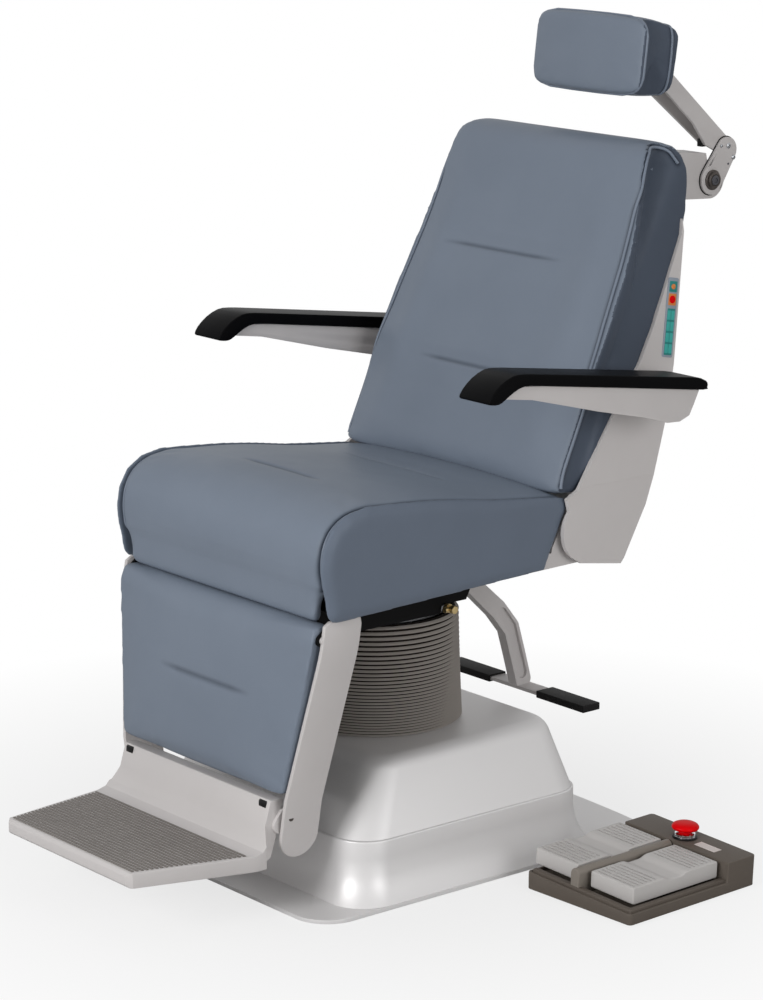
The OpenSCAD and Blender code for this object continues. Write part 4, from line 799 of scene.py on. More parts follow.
@dataclass(frozen=True)
class Finish:
    """A finish: its colours, its gloss and its fine relief."""

    name: str
    slot: str
    tone: str
    deep: str
    roughness: float
    rough_spread: float = 0.08
    metallic: float = 0.0
    grain: Grain = Grain.PEEL
    grain_size: float = 1.0
    relief: float = 0.1
    patch: float = 120.0
    coat: float = 0.0
    shine: float = 0.3
    # seam: colour of the painted shade in the sewn creases; blank for none.
    seam: str = ""

    def relief_height(self, tree: NodeTree, coordinates_out: object) -> object:
        """Makes the pattern that the relief follows.

        Args:
            tree: The material's node tree.
            coordinates_out: The socket with the object's coordinates.

        Returns:
            The socket with the height of the relief.
        """
        link = tree.links.new
        size = self.grain_size * MM
        if self.grain is Grain.HIDE:
            cells = shader_node(tree, "TexVoronoi", feature="SMOOTH_F1", Scale=1 / size, Smoothness=0.6)
            fine = shader_node(tree, "TexNoise", Scale=0.35 / size, Detail=3.0, Roughness=0.6)
            both = shader_node(tree, "Math", operation="MULTIPLY_ADD")
            both.inputs[1].default_value = -0.6
            link(coordinates_out, cells.inputs["Vector"])
            link(coordinates_out, fine.inputs["Vector"])
            link(cells.outputs["Distance"], both.inputs[0])
            link(fine.outputs["Fac"], both.inputs[2])
            return both.outputs[0]
        if self.grain is Grain.BRUSHED:
            stretch = shader_node(tree, "Mapping")
            stretch.inputs["Scale"].default_value = (0.06, 1.0, 1.0)
            lines = shader_node(tree, "TexNoise", Scale=1 / size, Detail=2.0)
            link(coordinates_out, stretch.inputs["Vector"])
            link(stretch.outputs["Vector"], lines.inputs["Vector"])
            return lines.outputs["Fac"]
        detail = 5.0 if self.grain is Grain.MOULDED else 1.0
        specks = shader_node(tree, "TexNoise", Scale=1 / size, Detail=detail, Roughness=0.55)
        link(coordinates_out, specks.inputs["Vector"])
        return specks.outputs["Fac"]

    def material(self) -> Material:
        """Builds the finish as a node material, once."""
        if self.name in bpy.data.materials:
            return bpy.data.materials[self.name]
        made = bpy.data.materials.new(self.name)
        made.use_nodes = True
        tree = made.node_tree
        link = tree.links.new
        shader = tree.nodes["Principled BSDF"]
        place = shader_node(tree, "TexCoord").outputs["Object"]
        cloud = shader_node(tree, "TexNoise", Scale=1000 / self.patch, Detail=4.0, Roughness=0.6)
        link(place, cloud.inputs["Vector"])
        colour = shader_node(tree, "Mix", data_type="RGBA")
        colour.inputs["A"].default_value = (*linear(self.tone), 1)
        colour.inputs["B"].default_value = (*linear(self.deep), 1)
        link(cloud.outputs["Fac"], colour.inputs["Factor"])
        result = colour.outputs["Result"]
        # Painted shade along the sewn creases, read from the "seam" attribute.
        if self.seam:
            result = self.mix_seam_shade(tree, result)
        link(result, shader.inputs["Base Color"])
        height = self.relief_height(tree, place)
        gloss = shader_node(tree, "MapRange", To_Min=self.roughness - self.rough_spread,
                            To_Max=self.roughness + self.rough_spread)
        link(cloud.outputs["Fac"], gloss.inputs["Value"])
        link(gloss.outputs["Result"], shader.inputs["Roughness"])
        bump = shader_node(tree, "Bump", Strength=1.0, Distance=self.relief * MM)
        link(height, bump.inputs["Height"])
        link(bump.outputs["Normal"], shader.inputs["Normal"])
        for key, value in (("Metallic", self.metallic), ("Coat Weight", self.coat), ("Coat Roughness", 0.25),
                           ("Specular IOR Level", self.shine)):
            shader.inputs[key].default_value = value
        made.diffuse_color = (*linear(self.tone), 1)
        return made

    def mix_seam_shade(self, tree: NodeTree, result: object) -> object:
        """Mixes the seam's colour, a painted shade, in along the sewn creases.

        Args:
            tree: The material's node tree.
            result: The socket with the plain colour.

        Returns:
            The socket with the mixed colour.
        """
        near = shader_node(tree, "Attribute", attribute_name="seam")
        mixed = shader_node(tree, "Mix", data_type="RGBA")
        mixed.inputs["B"].default_value = (*linear(self.seam), 1)
        tree.links.new(near.outputs["Fac"], mixed.inputs["Factor"])
        tree.links.new(result, mixed.inputs["A"])
        return mixed.outputs["Result"]


PAINT = Finish("warm_grey_paint", "paint", "cfcbca", "c6c2c1", 0.42, 0.06, relief=0.05, grain_size=2.4, coat=0.15)
HOUSING = Finish("housing_paint", "housing_paint", "c9c5c5", "c0bcbc", 0.46, 0.06, relief=0.06, grain_size=2.8)
# VINYL's seam colour is the painted shade in its sewn creases.
VINYL = Finish("slate_vinyl", "vinyl", "7c8694", "727c8a", 0.43, 0.06, grain=Grain.HIDE, grain_size=1.3,
               relief=0.12, patch=160.0, shine=0.16, seam="252d39")
# A darker copy of the vinyl: painted shade for side faces turned away from the light.
VINYL_SHADED_SIDE = replace(VINYL, name="slate_vinyl_shaded_side", tone="6d7786", deep="646e7c", roughness=0.45)
# A still darker copy of the vinyl, with darker crease shade: painted shade for the back's and the head's side
# faces.
VINYL_PAINTED_SHADE = replace(VINYL_SHADED_SIDE, name="slate_vinyl_painted_shade", tone="505967", deep="48505d", seam="1c222c")
VINYL_CORD = Finish("slate_vinyl_cord", "vinyl", "7d8796", "6c7685", 0.38, 0.05, grain=Grain.HIDE,
                    grain_size=0.9, relief=0.05)
BLACK = Finish("moulded_black", "black_plastic", "161617", "101011", 0.45, 0.08, grain=Grain.MOULDED,
               grain_size=0.8, relief=0.05, shine=0.2)
CAP_BLACK = Finish("arm_cap_black", "black_plastic", "08080a", "050506", 0.42, 0.06, grain=Grain.HIDE,
                   grain_size=0.9, relief=0.06, shine=0.05)
RUBBER = Finish("grip_rubber", "black_rubber", "1d1c1c", "141313", 0.62, 0.08, grain=Grain.MOULDED,
                grain_size=1.2, relief=0.12, shine=0.15)
TREAD = Finish("tread_rubber", "black_rubber", "86817d", "7a7571", 0.6, 0.06, grain=Grain.MOULDED,
               grain_size=1.2, relief=0.06, shine=0.2)
BLACK_STEEL = Finish("black_steel", "black_steel", "202125", "141518", 0.45, 0.1, metallic=0.3, relief=0.06,
                     grain_size=1.6)
FRAME_BLACK = Finish("frame_black", "black_plastic", "121213", "0c0c0d", 0.55, 0.08, grain=Grain.MOULDED,
                     grain_size=1.2, relief=0.05, shine=0.08)
STEEL = Finish("turned_steel", "steel", "b9bbbe", "a2a4a8", 0.3, 0.06, metallic=1.0, grain=Grain.BRUSHED,
               relief=0.02)
CHROME = Finish("chrome", "chrome", "8e9096", "7f8187", 0.14, 0.03, metallic=1.0, relief=0.004, grain_size=6.0)
BELLOWS = Finish("bellows_rubber", "bellows_rubber", "99928a", "8a837b", 0.5, 0.08, grain=Grain.MOULDED,
                 grain_size=1.4, relief=0.08, shine=0.2)
# Dark rubber for the faces deep between the bellows' ribs: painted shade in the grooves.
BELLOWS_GROOVE_SHADE = Finish("bellows_groove_shade", "bellows_rubber", "2c2824", "231f1c", 0.6, 0.06, grain=Grain.MOULDED,
                grain_size=1.4, relief=0.05, shine=0.05)
CASE = Finish("case_taupe", "case_plastic", "625a52", "574f48", 0.55, 0.06, grain=Grain.MOULDED, grain_size=0.9,
              relief=0.12)
PEDAL = Finish("pedal_grey", "pedal_plastic", "cac7c5", "bfbcba", 0.5, 0.05, grain=Grain.MOULDED, grain_size=0.9,
               relief=0.06)
RED = Finish("signal_red", "red_plastic", "ec0610", "da040c", 0.35, 0.05, relief=0.01, grain_size=3.0, shine=0.06)
BRASS = Finish("brass", "brass", "d6a552", "b98a3c", 0.25, 0.06, metallic=1.0, relief=0.01)
CASE_RIDGE = replace(CASE, name="ridge_taupe", tone="8b847c", deep="7c756d", roughness=0.5, relief=0.1)
TEAL_DEEP = Finish("keypad_teal_deep", "case_plastic", "2b8f8b", "267f7b", 0.5, 0.05, relief=0.03)
LABEL = Finish("bare_label", "pedal_plastic", "ded5d1", "d6ccc8", 0.5, 0.04, relief=0.02)
PAD_BORDER = Finish("keypad_border", "case_plastic", "99a3af", "8f99a6", 0.45, 0.05, relief=0.03)
TEAL = Finish("keypad_teal", "case_plastic", "45b7af", "3aa9a2", 0.42, 0.05, relief=0.03)
ORANGE = Finish("keypad_orange", "case_plastic", "e08d4a", "d58040", 0.42, 0.05, relief=0.03)
KNOB = Finish("knob_grey", "black_steel", "5d5652", "4d4744", 0.34, 0.08, metallic=0.3, relief=0.05,
              grain_size=1.4)
# Dark plastic for the floors of the pedal grooves: painted shade.
PEDAL_GROOVE_SHADE = Finish("pedal_groove_shade", "black_plastic", "191818", "121111", 0.8, 0.05, relief=0.05)


def coat(piece: Object, finish: Finish) -> None:
    """Gives a piece one finish all over."""
    piece.data.materials.clear()
    piece.data.materials.append(finish.material())


def mount(piece: Object, body: str, finish: Finish, nodes: Sequence[str] = ()) -> Object:
    """Gives a finished piece its material and its body, and hides the CAD nodes that it stands for.

    Args:
        piece: The finished piece.
        body: The CAD body that it moves with.
        finish: Its finish.
        nodes: The CAD nodes that it replaces.

    Returns:
        The same piece.
    """
    coat(piece, finish)
    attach(piece, body)
    if nodes:
        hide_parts(*nodes)
    log.info("%s on %s: %d faces", piece.name, body, len(piece.data.polygons))
    return piece


def painted(piece: Object, finish: Finish, test: Callable[[Vector, Vector], bool]) -> None:
    """Gives some faces of a mounted piece a second finish.

    Args:
        piece: The mounted piece.
        finish: The second finish.
        test: Says of a face's middle and normal whether it gets the second finish.
    """
    piece.data.materials.append(finish.material())
    last = len(piece.data.materials) - 1
    for face in piece.data.polygons:
        if test(face.center, face.normal):
            face.material_index = last


def dress_nodes(finishes: dict[Finish, Sequence[str]]) -> None:
    """Gives carried-over CAD nodes their finishes.

    Args:
        finishes: The names of the nodes that get each finish.
    """
    for finish, names in finishes.items():
        for name in names:
            coat(frame["nodes"][name], finish)
            log.info("%s dressed in %s", name, finish.name)


# --------------------------------------------------------------------------- base


@dataclass
class Base:
    """The floor plate and the two tiers of the housing."""

    seam_z: float = 102.0
    seam_gap: float = 0.3
    seam_round: float = 2.5
    flare_z: float = 74.0
    top_z: float = 208.0
    half: float = 256.0
    front: float = 237.0
    rear: float = 230.0
    corner: float = 58.0
    step: float = 3.0
    top_half: float = 205.0
    top_front: float = 157.0
    top_rear: float = 205.0
    top_round: float = 20.0
    hole_r: float = 128.0
    window: tuple[Triple, Triple] = ((86, 200, 46), (134, 262, 76))
    flare: Sequence[Flat] = ((62.0, 1.5), (48.0, 3.6), (37.0, 6.4), (28.0, 10.0), (20.0, 14.0), (13.0, 18.0),
                             (8.5, 21.0), (6.2, 22.5))

    def tier(self, name: str, low: float, high: float, inset: float) -> Object:
        """A block of one tier with its upright edges rounded.

        Args:
            name: Name of the new piece.
            low: Height of its lower face in millimetres.
            high: Height of its upper face in millimetres.
            inset: How much narrower it is than the seam, in millimetres.

        Returns:
            The new piece.
        """
        piece = block(name, mm(-self.half + inset, -self.front + inset, low),
                      mm(self.half - inset, self.rear - inset, high))
        pick_edges(piece, runs_up)
        round_picked(self.corner, 10)
        return piece

    def lower(self) -> Object:
        """The lower tier, which flares out into the floor plate."""
        piece = self.tier("housing_skirt", self.flare_z, self.seam_z, 0.0)
        middle = mm(0, (self.rear - self.front) / 2, 0)
        high, spread = self.flare_z, 0.0
        for z, more in self.flare:
            pick_faces(piece, faces_down)
            pull(mm(0, 0, z - high))
            grow_x = (self.half + more) / (self.half + spread)
            grow_y = (self.front + more) / (self.front + spread)
            bpy.ops.transform.resize(value=(grow_x, grow_y, 1), center_override=(0, middle.y, z * MM))
            leave_edit()
            high, spread = z, more
        pick_faces(piece, faces_down)
        bpy.ops.mesh.delete(type="FACE")
        pick_edges(piece, lambda a, b: min(a.z, b.z) > (self.seam_z - 0.5) * MM)
        round_picked(self.seam_round, 3)
        self.socket_hole(piece)
        smooth(piece)
        return piece

    def socket_hole(self, piece: Object) -> None:
        """Cuts the mains inlet's window into the rear of the lower tier."""
        low, high = self.window
        cut_out(piece, block("window_tool", mm(*low), mm(*high)))

    def upper(self) -> Object:
        """The upper tier, drawn in to its top face, with the bellows' opening."""
        piece = self.tier("housing_hood", self.seam_z + self.seam_gap, self.top_z, self.step)
        pick_faces(piece, faces_up)
        width = self.half - self.step
        length = (self.front + self.rear) / 2 - self.step
        middle = (self.rear - self.front) / 2
        grow = (self.top_half / width, (self.top_front + self.top_rear) / 2 / length, 1)
        bpy.ops.transform.resize(value=grow, center_override=(0, middle * MM, self.top_z * MM))
        shift = (self.top_rear - self.top_front) / 2 - middle
        bpy.ops.transform.translate(value=mm(0, shift, 0))
        leave_edit()
        pick_edges(piece, lambda a, b: min(a.z, b.z) > (self.top_z - 0.5) * MM)
        round_picked(self.top_round, 7)
        pick_faces(piece, faces_down)
        bpy.ops.mesh.delete(type="FACE")
        leave_edit()
        bpy.ops.mesh.primitive_cylinder_add(vertices=96, radius=self.hole_r * MM, depth=0.1,
                                            location=mm(0, 0, self.top_z))
        cut_out(piece, bpy.context.object)
        smooth(piece, math.radians(50))
        return piece

    def build(self) -> None:
        """Builds the tiers and puts them on the base."""
        mount(self.lower(), "base", HOUSING, ["lower_housing"])
        mount(self.upper(), "base", HOUSING, ["upper_housing"])
        mount(cast("floor_plate", "base_plate", 2.2, 3), "base", HOUSING, ["base_plate"])


@dataclass
class BellowsSleeve:
    """The ribbed sleeve round the lifting column, which stretches as the chair rises."""

    foot_z: float = 208.2
    height: float = 177.6
    foot_r: float = 140.0
    top_r: float = 134.0
    ribs: int = 30
    rib: Sequence[Flat] = ((0.0, 1.0), (0.2, 0.7), (0.34, 0.15), (0.5, 0.0), (0.66, 0.15), (0.8, 0.7))
    depth: float = 8.0
    skin: float = 2.5
    # groove: share of the rib depth beyond which faces get painted shade.
    groove: float = 0.55
    bunch: float = 0.26

    def level(self, share: float) -> float:
        """Height of a share of the ribs, which lie closer together near the foot."""
        return self.height * (share * (1 - self.bunch) + self.bunch * share ** 3)

    def in_groove(self, at: Vector) -> bool:
        """Whether a face's middle lies deep between two ribs."""
        steps = np.linspace(0, 1, 200)
        share = float(np.interp(at.z / MM - self.foot_z, [self.level(step) for step in steps], steps))
        outer = self.foot_r + (self.top_r - self.foot_r) * share
        return outer - math.hypot(at.x, at.y) / MM > self.depth * self.groove

    def build(self) -> None:
        """Turns the ribs into the sleeve between the base and the lift."""
        profile = []
        for i in range(self.ribs):
            radius = self.foot_r + (self.top_r - self.foot_r) * i / self.ribs
            for share, inward in self.rib:
                profile.append((radius - inward * self.depth, self.level((i + share) / self.ribs)))
        profile.append((self.top_r - self.depth, self.height))
        inner = self.top_r - self.depth - self.skin
        foot = self.foot_r - self.depth
        profile += [(inner, self.height), (foot - self.skin, 0.0), (foot, 0.0)]
        piece = turned("bellows_sleeve", profile, mm(0, 0, self.foot_z), UPWARD, 96)
        smooth(piece, math.radians(70))
        coat(piece, BELLOWS)
        # Faces deep between the ribs get painted shade.
        painted(piece, BELLOWS_GROOVE_SHADE, lambda at, normal: self.in_groove(at))
        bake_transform(piece)
        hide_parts("bellows")
        log.info("%s: %d faces", piece.name, len(piece.data.polygons))


# --------------------------------------------------------------------------- seat


@dataclass
class Seat:
    """The seat cushion with its apron, its padded side panels and their piping."""

    half: float = 255.5
    base_z: float = 500.0
    apron_z: float = 457.5
    panel_x: float = 256.0
    panel_t: float = 7.0
    crown: float = 5.0
    round_in: float = 26.0
    edge: Sequence[Flat] = ((-303, 497), (-309, 521), (-311, 546), (-306, 576), (-290, 603), (-262, 620.5),
                            (-226, 627), (-182, 624.5), (-106, 618.5), (-43, 610.5), (20, 600), (108, 590),
                            (150, 585.5), (170, 580))
    foot: Sequence[Flat] = ((174, 570), (157, 536), (139, 500), (127, 472.5), (-276, 459.5), (-290, 461),
                            (-298, 470), (-301, 482))
    channels: Sequence[Triple] = ((-190, -88, 112), (35, -105, 150))

    def cushion(self) -> Object:
        """The cushion and the apron in one skin, with its side seams and channels."""
        piece = copied_node("seat_cover", "seat_cushion", "seat_skirts")
        pick_faces(piece, lambda at, normal: abs(at.x) > 0.2558 and at.z < 0.5001)
        bpy.ops.mesh.select_linked()
        bpy.ops.mesh.delete(type="VERT")
        leave_edit()
        pad = Padding(shrink=1.5, swell=6.0)
        edges = [dense(eased_path(in_side(self.edge, side * 255)), 4.0) for side in (-1, 1)]
        sewn_edge = near_lines(edges, 7.0)
        pad.stuffed(piece, lambda at, normal: normal.z < -0.5 or (normal.y > 0.4 and at.z < 0.56)
                    or sewn_edge(at))
        self.ease_front(piece)
        places = coordinates(piece.data)
        hung = (places[:, 2] < self.base_z * MM) & (places[:, 1] < -0.26)
        drop = (self.base_z - self.apron_z) / (self.base_z - places[:, 2].min() / MM)
        places[hung, 2] = self.base_z * MM - (self.base_z * MM - places[hung, 2]) * drop
        limit = self.half * MM
        over = np.abs(places[:, 0]) > limit
        places[over, 0] = np.sign(places[over, 0]) * limit
        low = (places[:, 2] < 0.506) & (places[:, 1] > -0.27)
        places[low, 2] = np.maximum(places[low, 2], 0.5003)
        set_coordinates(piece.data, places)
        seams = []
        for y, left, right in self.channels:
            line = row(mm(left, y, 660), mm(right, y, 660))
            seams.append(Seam(dense(laid_on(piece, line)), depth=2.6, width=4.5, dark=0.45, fade=0.18))
        for side in (-1, 1):
            path = in_side(self.edge, side * 253)
            seams.append(Seam(dense(laid_on(piece, eased_path(path))), depth=2.2, width=4.5, dark=1.0))
        sewn(piece, seams)
        smooth(piece, SOFT_ANGLE)
        return mount(piece, "seat", VINYL, ["seat_cushion", "seat_skirts"])

    def ease_front(self, piece: Object) -> None:
        """Smooths the step between the front of the cushion and the apron below it."""
        take_up(piece)
        enter_edit("VERT", "DESELECT")
        form = bmesh.from_edit_mesh(piece.data)
        for point in form.verts:
            at = point.co / MM
            level = self.base_z - 26 < at.z < self.base_z + 36
            point.select_set(at.y < -286 and level and abs(at.x) < 252)
        bmesh.update_edit_mesh(piece.data)
        bpy.ops.mesh.vertices_smooth(factor=0.5, repeat=90, xaxis=False, zaxis=False)
        leave_edit()

    def side_panel(self) -> Object:
        """The padded panel that closes the near side of the seat, down over the frame."""
        points = in_side([*self.edge, *self.foot], self.panel_x)
        piece = drawn("seat_side_panel_near", points, mm(self.panel_t - 3, 0, 0))
        remesh(piece, 2.2)
        tree = tree_of(dense([*points, points[0]], 2.0))
        mesh = piece.data
        places = coordinates(mesh)
        middle = (self.panel_x + 1.5) * MM
        for i, place in enumerate(places):
            if place[0] < middle:
                continue
            _, _, away = tree.find((self.panel_x * MM, place[1], place[2]))
            share = min(1.0, away / (self.round_in * MM))
            rise = (1 - (1 - share) ** 2.4) * self.crown
            rear = min(1.0, max(0.0, (0.12 - place[1]) / 0.08))
            places[i, 0] += (2.2 * min(1.0, share * 2.2) + rise * (0.25 + 0.75 * rear)) * MM
        set_coordinates(mesh, places)
        relax(piece, 8)
        smooth(piece, SOFT_ANGLE)
        return piece

    def piping(self, cover: Object) -> None:
        """The raised cords along both upper side edges."""
        for side, name in ((1, "seat_piping_near"), (-1, "seat_piping_far")):
            path = in_side(self.edge, side * self.half)
            line = evened(laid_on(cover, dense(eased_path(path), 4.0), 0.0008), 6)
            mount(corded(name, line, 2.3), "seat", VINYL_CORD)

    def build(self) -> None:
        """Builds the seat's upholstery."""
        cover = self.cushion()
        near = self.side_panel()
        far = mirrored(near, "seat_side_panel_far")
        # The side panels take the darker vinyl copy: painted shade.
        mount(near, "seat", VINYL_SHADED_SIDE)
        mount(far, "seat", VINYL_SHADED_SIDE)
        self.piping(cover)


# --------------------------------------------------------------------------- backrest


@dataclass
class Backrest:
    """The back cushion with its bolster bands, channels and piping."""

    foot_half: float = 263.0
    taper: float = 0.0846
    foot_z: float = 600.0
    top_z: float = 1108.0
    corner: float = 34.0
    corner_seen: float = 15.0
    edge: Sequence[Flat] = ((149, 604), (158, 626), (193, 701.6), (215.4, 762.6), (239.8, 808.3), (263.9, 859),
                            (289, 909.9), (303, 940.4), (326.6, 1001.3), (342.4, 1052), (357, 1087), (374, 1104),
                            (396, 1108), (420.6, 1100), (437, 1078))
    channels: Sequence[Triple] = ((920, -168, 118), (747, -128, 124))
    inset: float = 8.0
    bolster: float = 5.0
    bolster_x: float = 186.0
    bolster_w: float = 34.0
    foot_drop: float = 9.0
    rear_out: float = 7.0

    def half(self, z: float, corner: float) -> float:
        """Half width of the cushion at a height, with a top corner of some radius, in millimetres."""
        over = min(corner, max(0.0, z - (self.top_z - corner)))
        cut = corner - math.sqrt(max(0.0, corner ** 2 - over ** 2))
        return self.foot_half - self.taper * (z - self.foot_z) - cut

    def cushion(self) -> Object:
        """The cushion, with soft bands along its front edges."""
        piece = copied_node("back_cover_pad", "back_cushion")
        pad = Padding(voxel=5.0, shrink=1.0, swell=8.0, side_ease=0.92)
        sewn_edge = near_lines([self.side_line(side, self.corner) for side in (-1, 1)], 8.0)
        pad.stuffed(piece, lambda at, normal: (normal.y > 0.35 and normal.z < 0.5) or sewn_edge(at))
        fitted(piece, "back_cushion", 1.0)
        self.widen(piece)
        places, outward = coordinates(piece.data), normals(piece.data)
        height = np.clip((places[:, 2] - 0.615) / 0.09, 0, 1) * np.clip((1.075 - places[:, 2]) / 0.16, 0, 1)
        front = np.clip((-outward[:, 1] - 0.35) / 0.4, 0, 1)
        centre = (self.bolster_x - 30 * (places[:, 2] - 0.62)) * MM
        band = np.exp(-(((np.abs(places[:, 0]) - centre) / (self.bolster_w * MM)) ** 2))
        dish = np.exp(-((places[:, 0] / 0.15) ** 4))
        rise = (self.bolster * band - 2.5 * dish) * height * front * MM
        set_coordinates(piece.data, places + outward * rise[:, None])
        seams = []
        for z, left, right in self.channels:
            line = laid_on(piece, pushed_on(piece, row(mm(left, 60, z), mm(right, 60, z))))
            seams.append(Seam(dense(line), depth=1.8, width=3.2, dark=0.5, fade=0.2))
        for side in (-1, 1):
            line = laid_on(piece, self.side_line(side, self.corner_seen))
            seams.append(Seam(dense(evened(line, 6)), depth=2.4, width=5.0, dark=0.85))
        sewn(piece, seams)
        smooth(piece, SOFT_ANGLE)
        mount(piece, "back", VINYL, ["back_cushion"])
        # The side faces take the darker vinyl copy: painted shade.
        painted(piece, VINYL_PAINTED_SHADE, lambda at, normal: abs(normal.x) > 0.72)
        return piece

    def widen(self, piece: Object) -> None:
        """Lets the foot down onto the seat and the rear edge out to the side plates."""
        places, outward = coordinates(piece.data), normals(piece.data)
        low = np.clip((0.64 - places[:, 2]) / 0.045, 0, 1)
        places[:, 2] -= low * self.foot_drop * MM
        rear = np.clip(outward[:, 1] / 0.5, 0, 1) * np.clip((np.abs(places[:, 0]) - 0.17) / 0.03, 0, 1)
        places[:, 1] += rear * self.rear_out * MM
        steps = np.arange(self.top_z - self.corner - 2, self.top_z - 1.0, 0.5)
        wider = [self.half(step, self.corner_seen) / self.half(step, self.corner) for step in steps]
        places[:, 0] *= np.interp(places[:, 2] / MM, steps, wider)
        set_coordinates(piece.data, places)

    def side_line(self, side: int, corner: float) -> list[Vector]:
        """The line of the piping on one side face, a little inside the cushion's outline."""
        points = [Vector(point) for point in self.edge]
        path = []
        for i, point in enumerate(points):
            along = (points[min(i + 1, len(points) - 1)] - points[max(i - 1, 0)]).normalized()
            inside = point + Vector((along.y, -along.x)) * self.inset
            path.append(mm(side * (self.half(point.y, corner) + 2), inside.x, inside.y))
        return dense(eased_path(path), 4.0)

    def build(self) -> None:
        """Builds the cushion and its piping."""
        cover = self.cushion()
        for side, name in ((1, "back_piping_near"), (-1, "back_piping_far")):
            line = evened(laid_on(cover, self.side_line(side, self.corner_seen), 0.0012), 8)
            mount(corded(name, line, 2.5), "back", VINYL_CORD)


# --------------------------------------------------------------------------- leg rest and headrest


@dataclass
class LegRest:
    """The leg pad, its two arms, and the footrest with its tread."""

    channel_z: float = 329.0
    channel: Flat = (-108.0, 124.0)
    rise: float = 2.0
    arm_x: float = 248.7
    arm_t: float = 7.0
    bend_z: float = 416.0
    bend_soft: float = 20.0
    draw: float = 0.1905
    arm_r: float = 35.0
    arm_foot: Flat = (-306.0, 121.0)
    arm_line: Sequence[Flat] = ((-271, 174), (-235.4, 422), (-231.5, 450), (-233, 460), (-240, 462), (-290, 462),
                                (-300.5, 456), (-304, 434), (-340.6, 184))
    clip: Triple = (172.0, -345.0, 178.0)
    pin_x: float = 241.5
    pin: Sequence[Flat] = ((0, 0), (5, 0), (6, 1), (6, 12.6), (5.4, 13.2), (0, 13.2))

    def pad(self) -> None:
        """The pad with its one channel."""
        piece = copied_node("leg_cover", "leg_cushion")
        pad = Padding(voxel=5.0, shrink=1.0, swell=3.0)
        pad.stuffed(piece, lambda at, normal: normal.y > 0.4 or abs(normal.x) > 0.8)
        fitted(piece, "leg_cushion", 0.5)
        places, outward = coordinates(piece.data), normals(piece.data)
        places[:, 2] += np.clip((outward[:, 2] - 0.4) / 0.3, 0, 1) * self.rise * MM
        set_coordinates(piece.data, places)
        left, right = self.channel
        line = pushed_on(piece, row(mm(left, -420, self.channel_z), mm(right, -420, self.channel_z)))
        sewn(piece, [Seam(dense(line), depth=2.4, width=4.0, dark=0.45, fade=0.2)])
        smooth(piece, SOFT_ANGLE)
        mount(piece, "leg", VINYL, ["leg_cushion"])

    def blade(self) -> Object:
        """The near leg arm: a flat blade that leans in below its bend."""
        foot = []
        for k in range(25):
            angle = math.pi * (1 + k / 24)
            foot.append((self.arm_foot[0] + self.arm_r * math.cos(angle),
                         self.arm_foot[1] + self.arm_r * math.sin(angle)))
        piece = drawn("leg_arm_near", in_side([*foot, *self.arm_line], self.arm_x), mm(self.arm_t, 0, 0))
        split_at(piece, [mm(0, 0, self.bend_z + step) for step in (-20, -12, -4, 4, 12, 20)], UPWARD)
        places = coordinates(piece.data) / MM
        below = self.bend_z - places[:, 2]
        soft = np.clip(below + self.bend_soft, 0, 2 * self.bend_soft) ** 2 / (4 * self.bend_soft)
        places[:, 0] -= self.draw * np.where(below > self.bend_soft, below, soft)
        set_coordinates(piece.data, places * MM)
        eased(piece, 1.6, 3, 50)
        return piece

    def clips(self) -> None:
        """The two dark clips between the pad's foot and the footrest."""
        x, y, z = self.clip
        near = block("foot_clip_near", mm(x - 9, y - 6, z - 3), mm(x + 9, y + 5, z + 3))
        pick_faces(near, lambda at, normal: normal.y < -0.9)
        pull(mm(0, -4, -2))
        pull(mm(0, -1, -4))
        leave_edit()
        eased(near, 0.8, 2)
        far = mirrored(near, "foot_clip_far")
        mount(near, "leg", BLACK)
        mount(far, "leg", BLACK)

    def build(self) -> None:
        """Builds the leg rest."""
        self.pad()
        self.clips()
        low, high = node_box("leg_pins")
        place = Vector((self.pin_x * MM, (low.y + high.y) / 2, (low.z + high.z) / 2))
        pin = turned("leg_pivot_near", self.pin, place, ACROSS, 32)
        mount(joined("leg_pivots", [pin, mirrored(pin, "leg_pivot_far")]), "seat", PAINT, ["leg_pins"])
        near = self.blade()
        mount(joined("leg_arm_blades", [near, mirrored(near, "leg_arm_far")]), "leg", PAINT, ["leg_arms"])
        mount(cast("footrest_casting", "foot_bracket", 2.4, 3), "footrest", PAINT, ["foot_bracket"])


@dataclass
class Headrest:
    """The head pad with the piping that frames it."""

    half: float = 128.0
    height: float = 122.0
    foot: Flat = (436.0, 1169.0)
    lean: float = 7.0

    def on_pad(self, x: float, out: float, up: float) -> Vector:
        """A place on the pad: across, back from its front and up from its foot, in millimetres."""
        turn = Matrix.Rotation(math.radians(-self.lean), 3, "X")
        return mm(0, *self.foot) + turn @ mm(x, out, up)

    def ring(self, out: float) -> list[Vector]:
        """The line round the pad at a distance behind its front, in millimetres."""
        corners = [(-self.half, 0), (self.half, 0), (self.half, self.height), (-self.half, self.height)]
        return [self.on_pad(x, out, up) for x, up in rounded(corners, 26, 8)]

    def build(self) -> None:
        """Builds the pad and its piping."""
        piece = copied_node("head_cover", "head_cushion")
        pad = Padding(voxel=4.0, shrink=1.0, swell=5.0, side_ease=0.85)
        rings = {"head_piping_front": self.ring(6.0), "head_piping_rear": self.ring(61.0)}
        sewn_edge = near_lines([dense([*ring, ring[0]], 3.0) for ring in rings.values()], 6.5)
        pad.stuffed(piece, lambda at, normal: normal.y > 0.6 or sewn_edge(at))
        fitted(piece, "head_cushion", 1.0)
        for name, ring in rings.items():
            line = evened(laid_on(piece, ring), 3, closed=True)
            sewn(piece, [Seam(dense([*line, line[0]]), depth=1.8, width=3.6, dark=0.85)])
            mount(corded(name, laid_on(piece, line, 0.001), 2.1, closed=True), "head_pad", VINYL_CORD)
        smooth(piece, SOFT_ANGLE)
        mount(piece, "head_pad", VINYL, ["head_cushion"])
        # The side faces take the darker vinyl copy: painted shade.
        painted(piece, VINYL_PAINTED_SHADE, lambda at, normal: abs(normal.x) > 0.6)


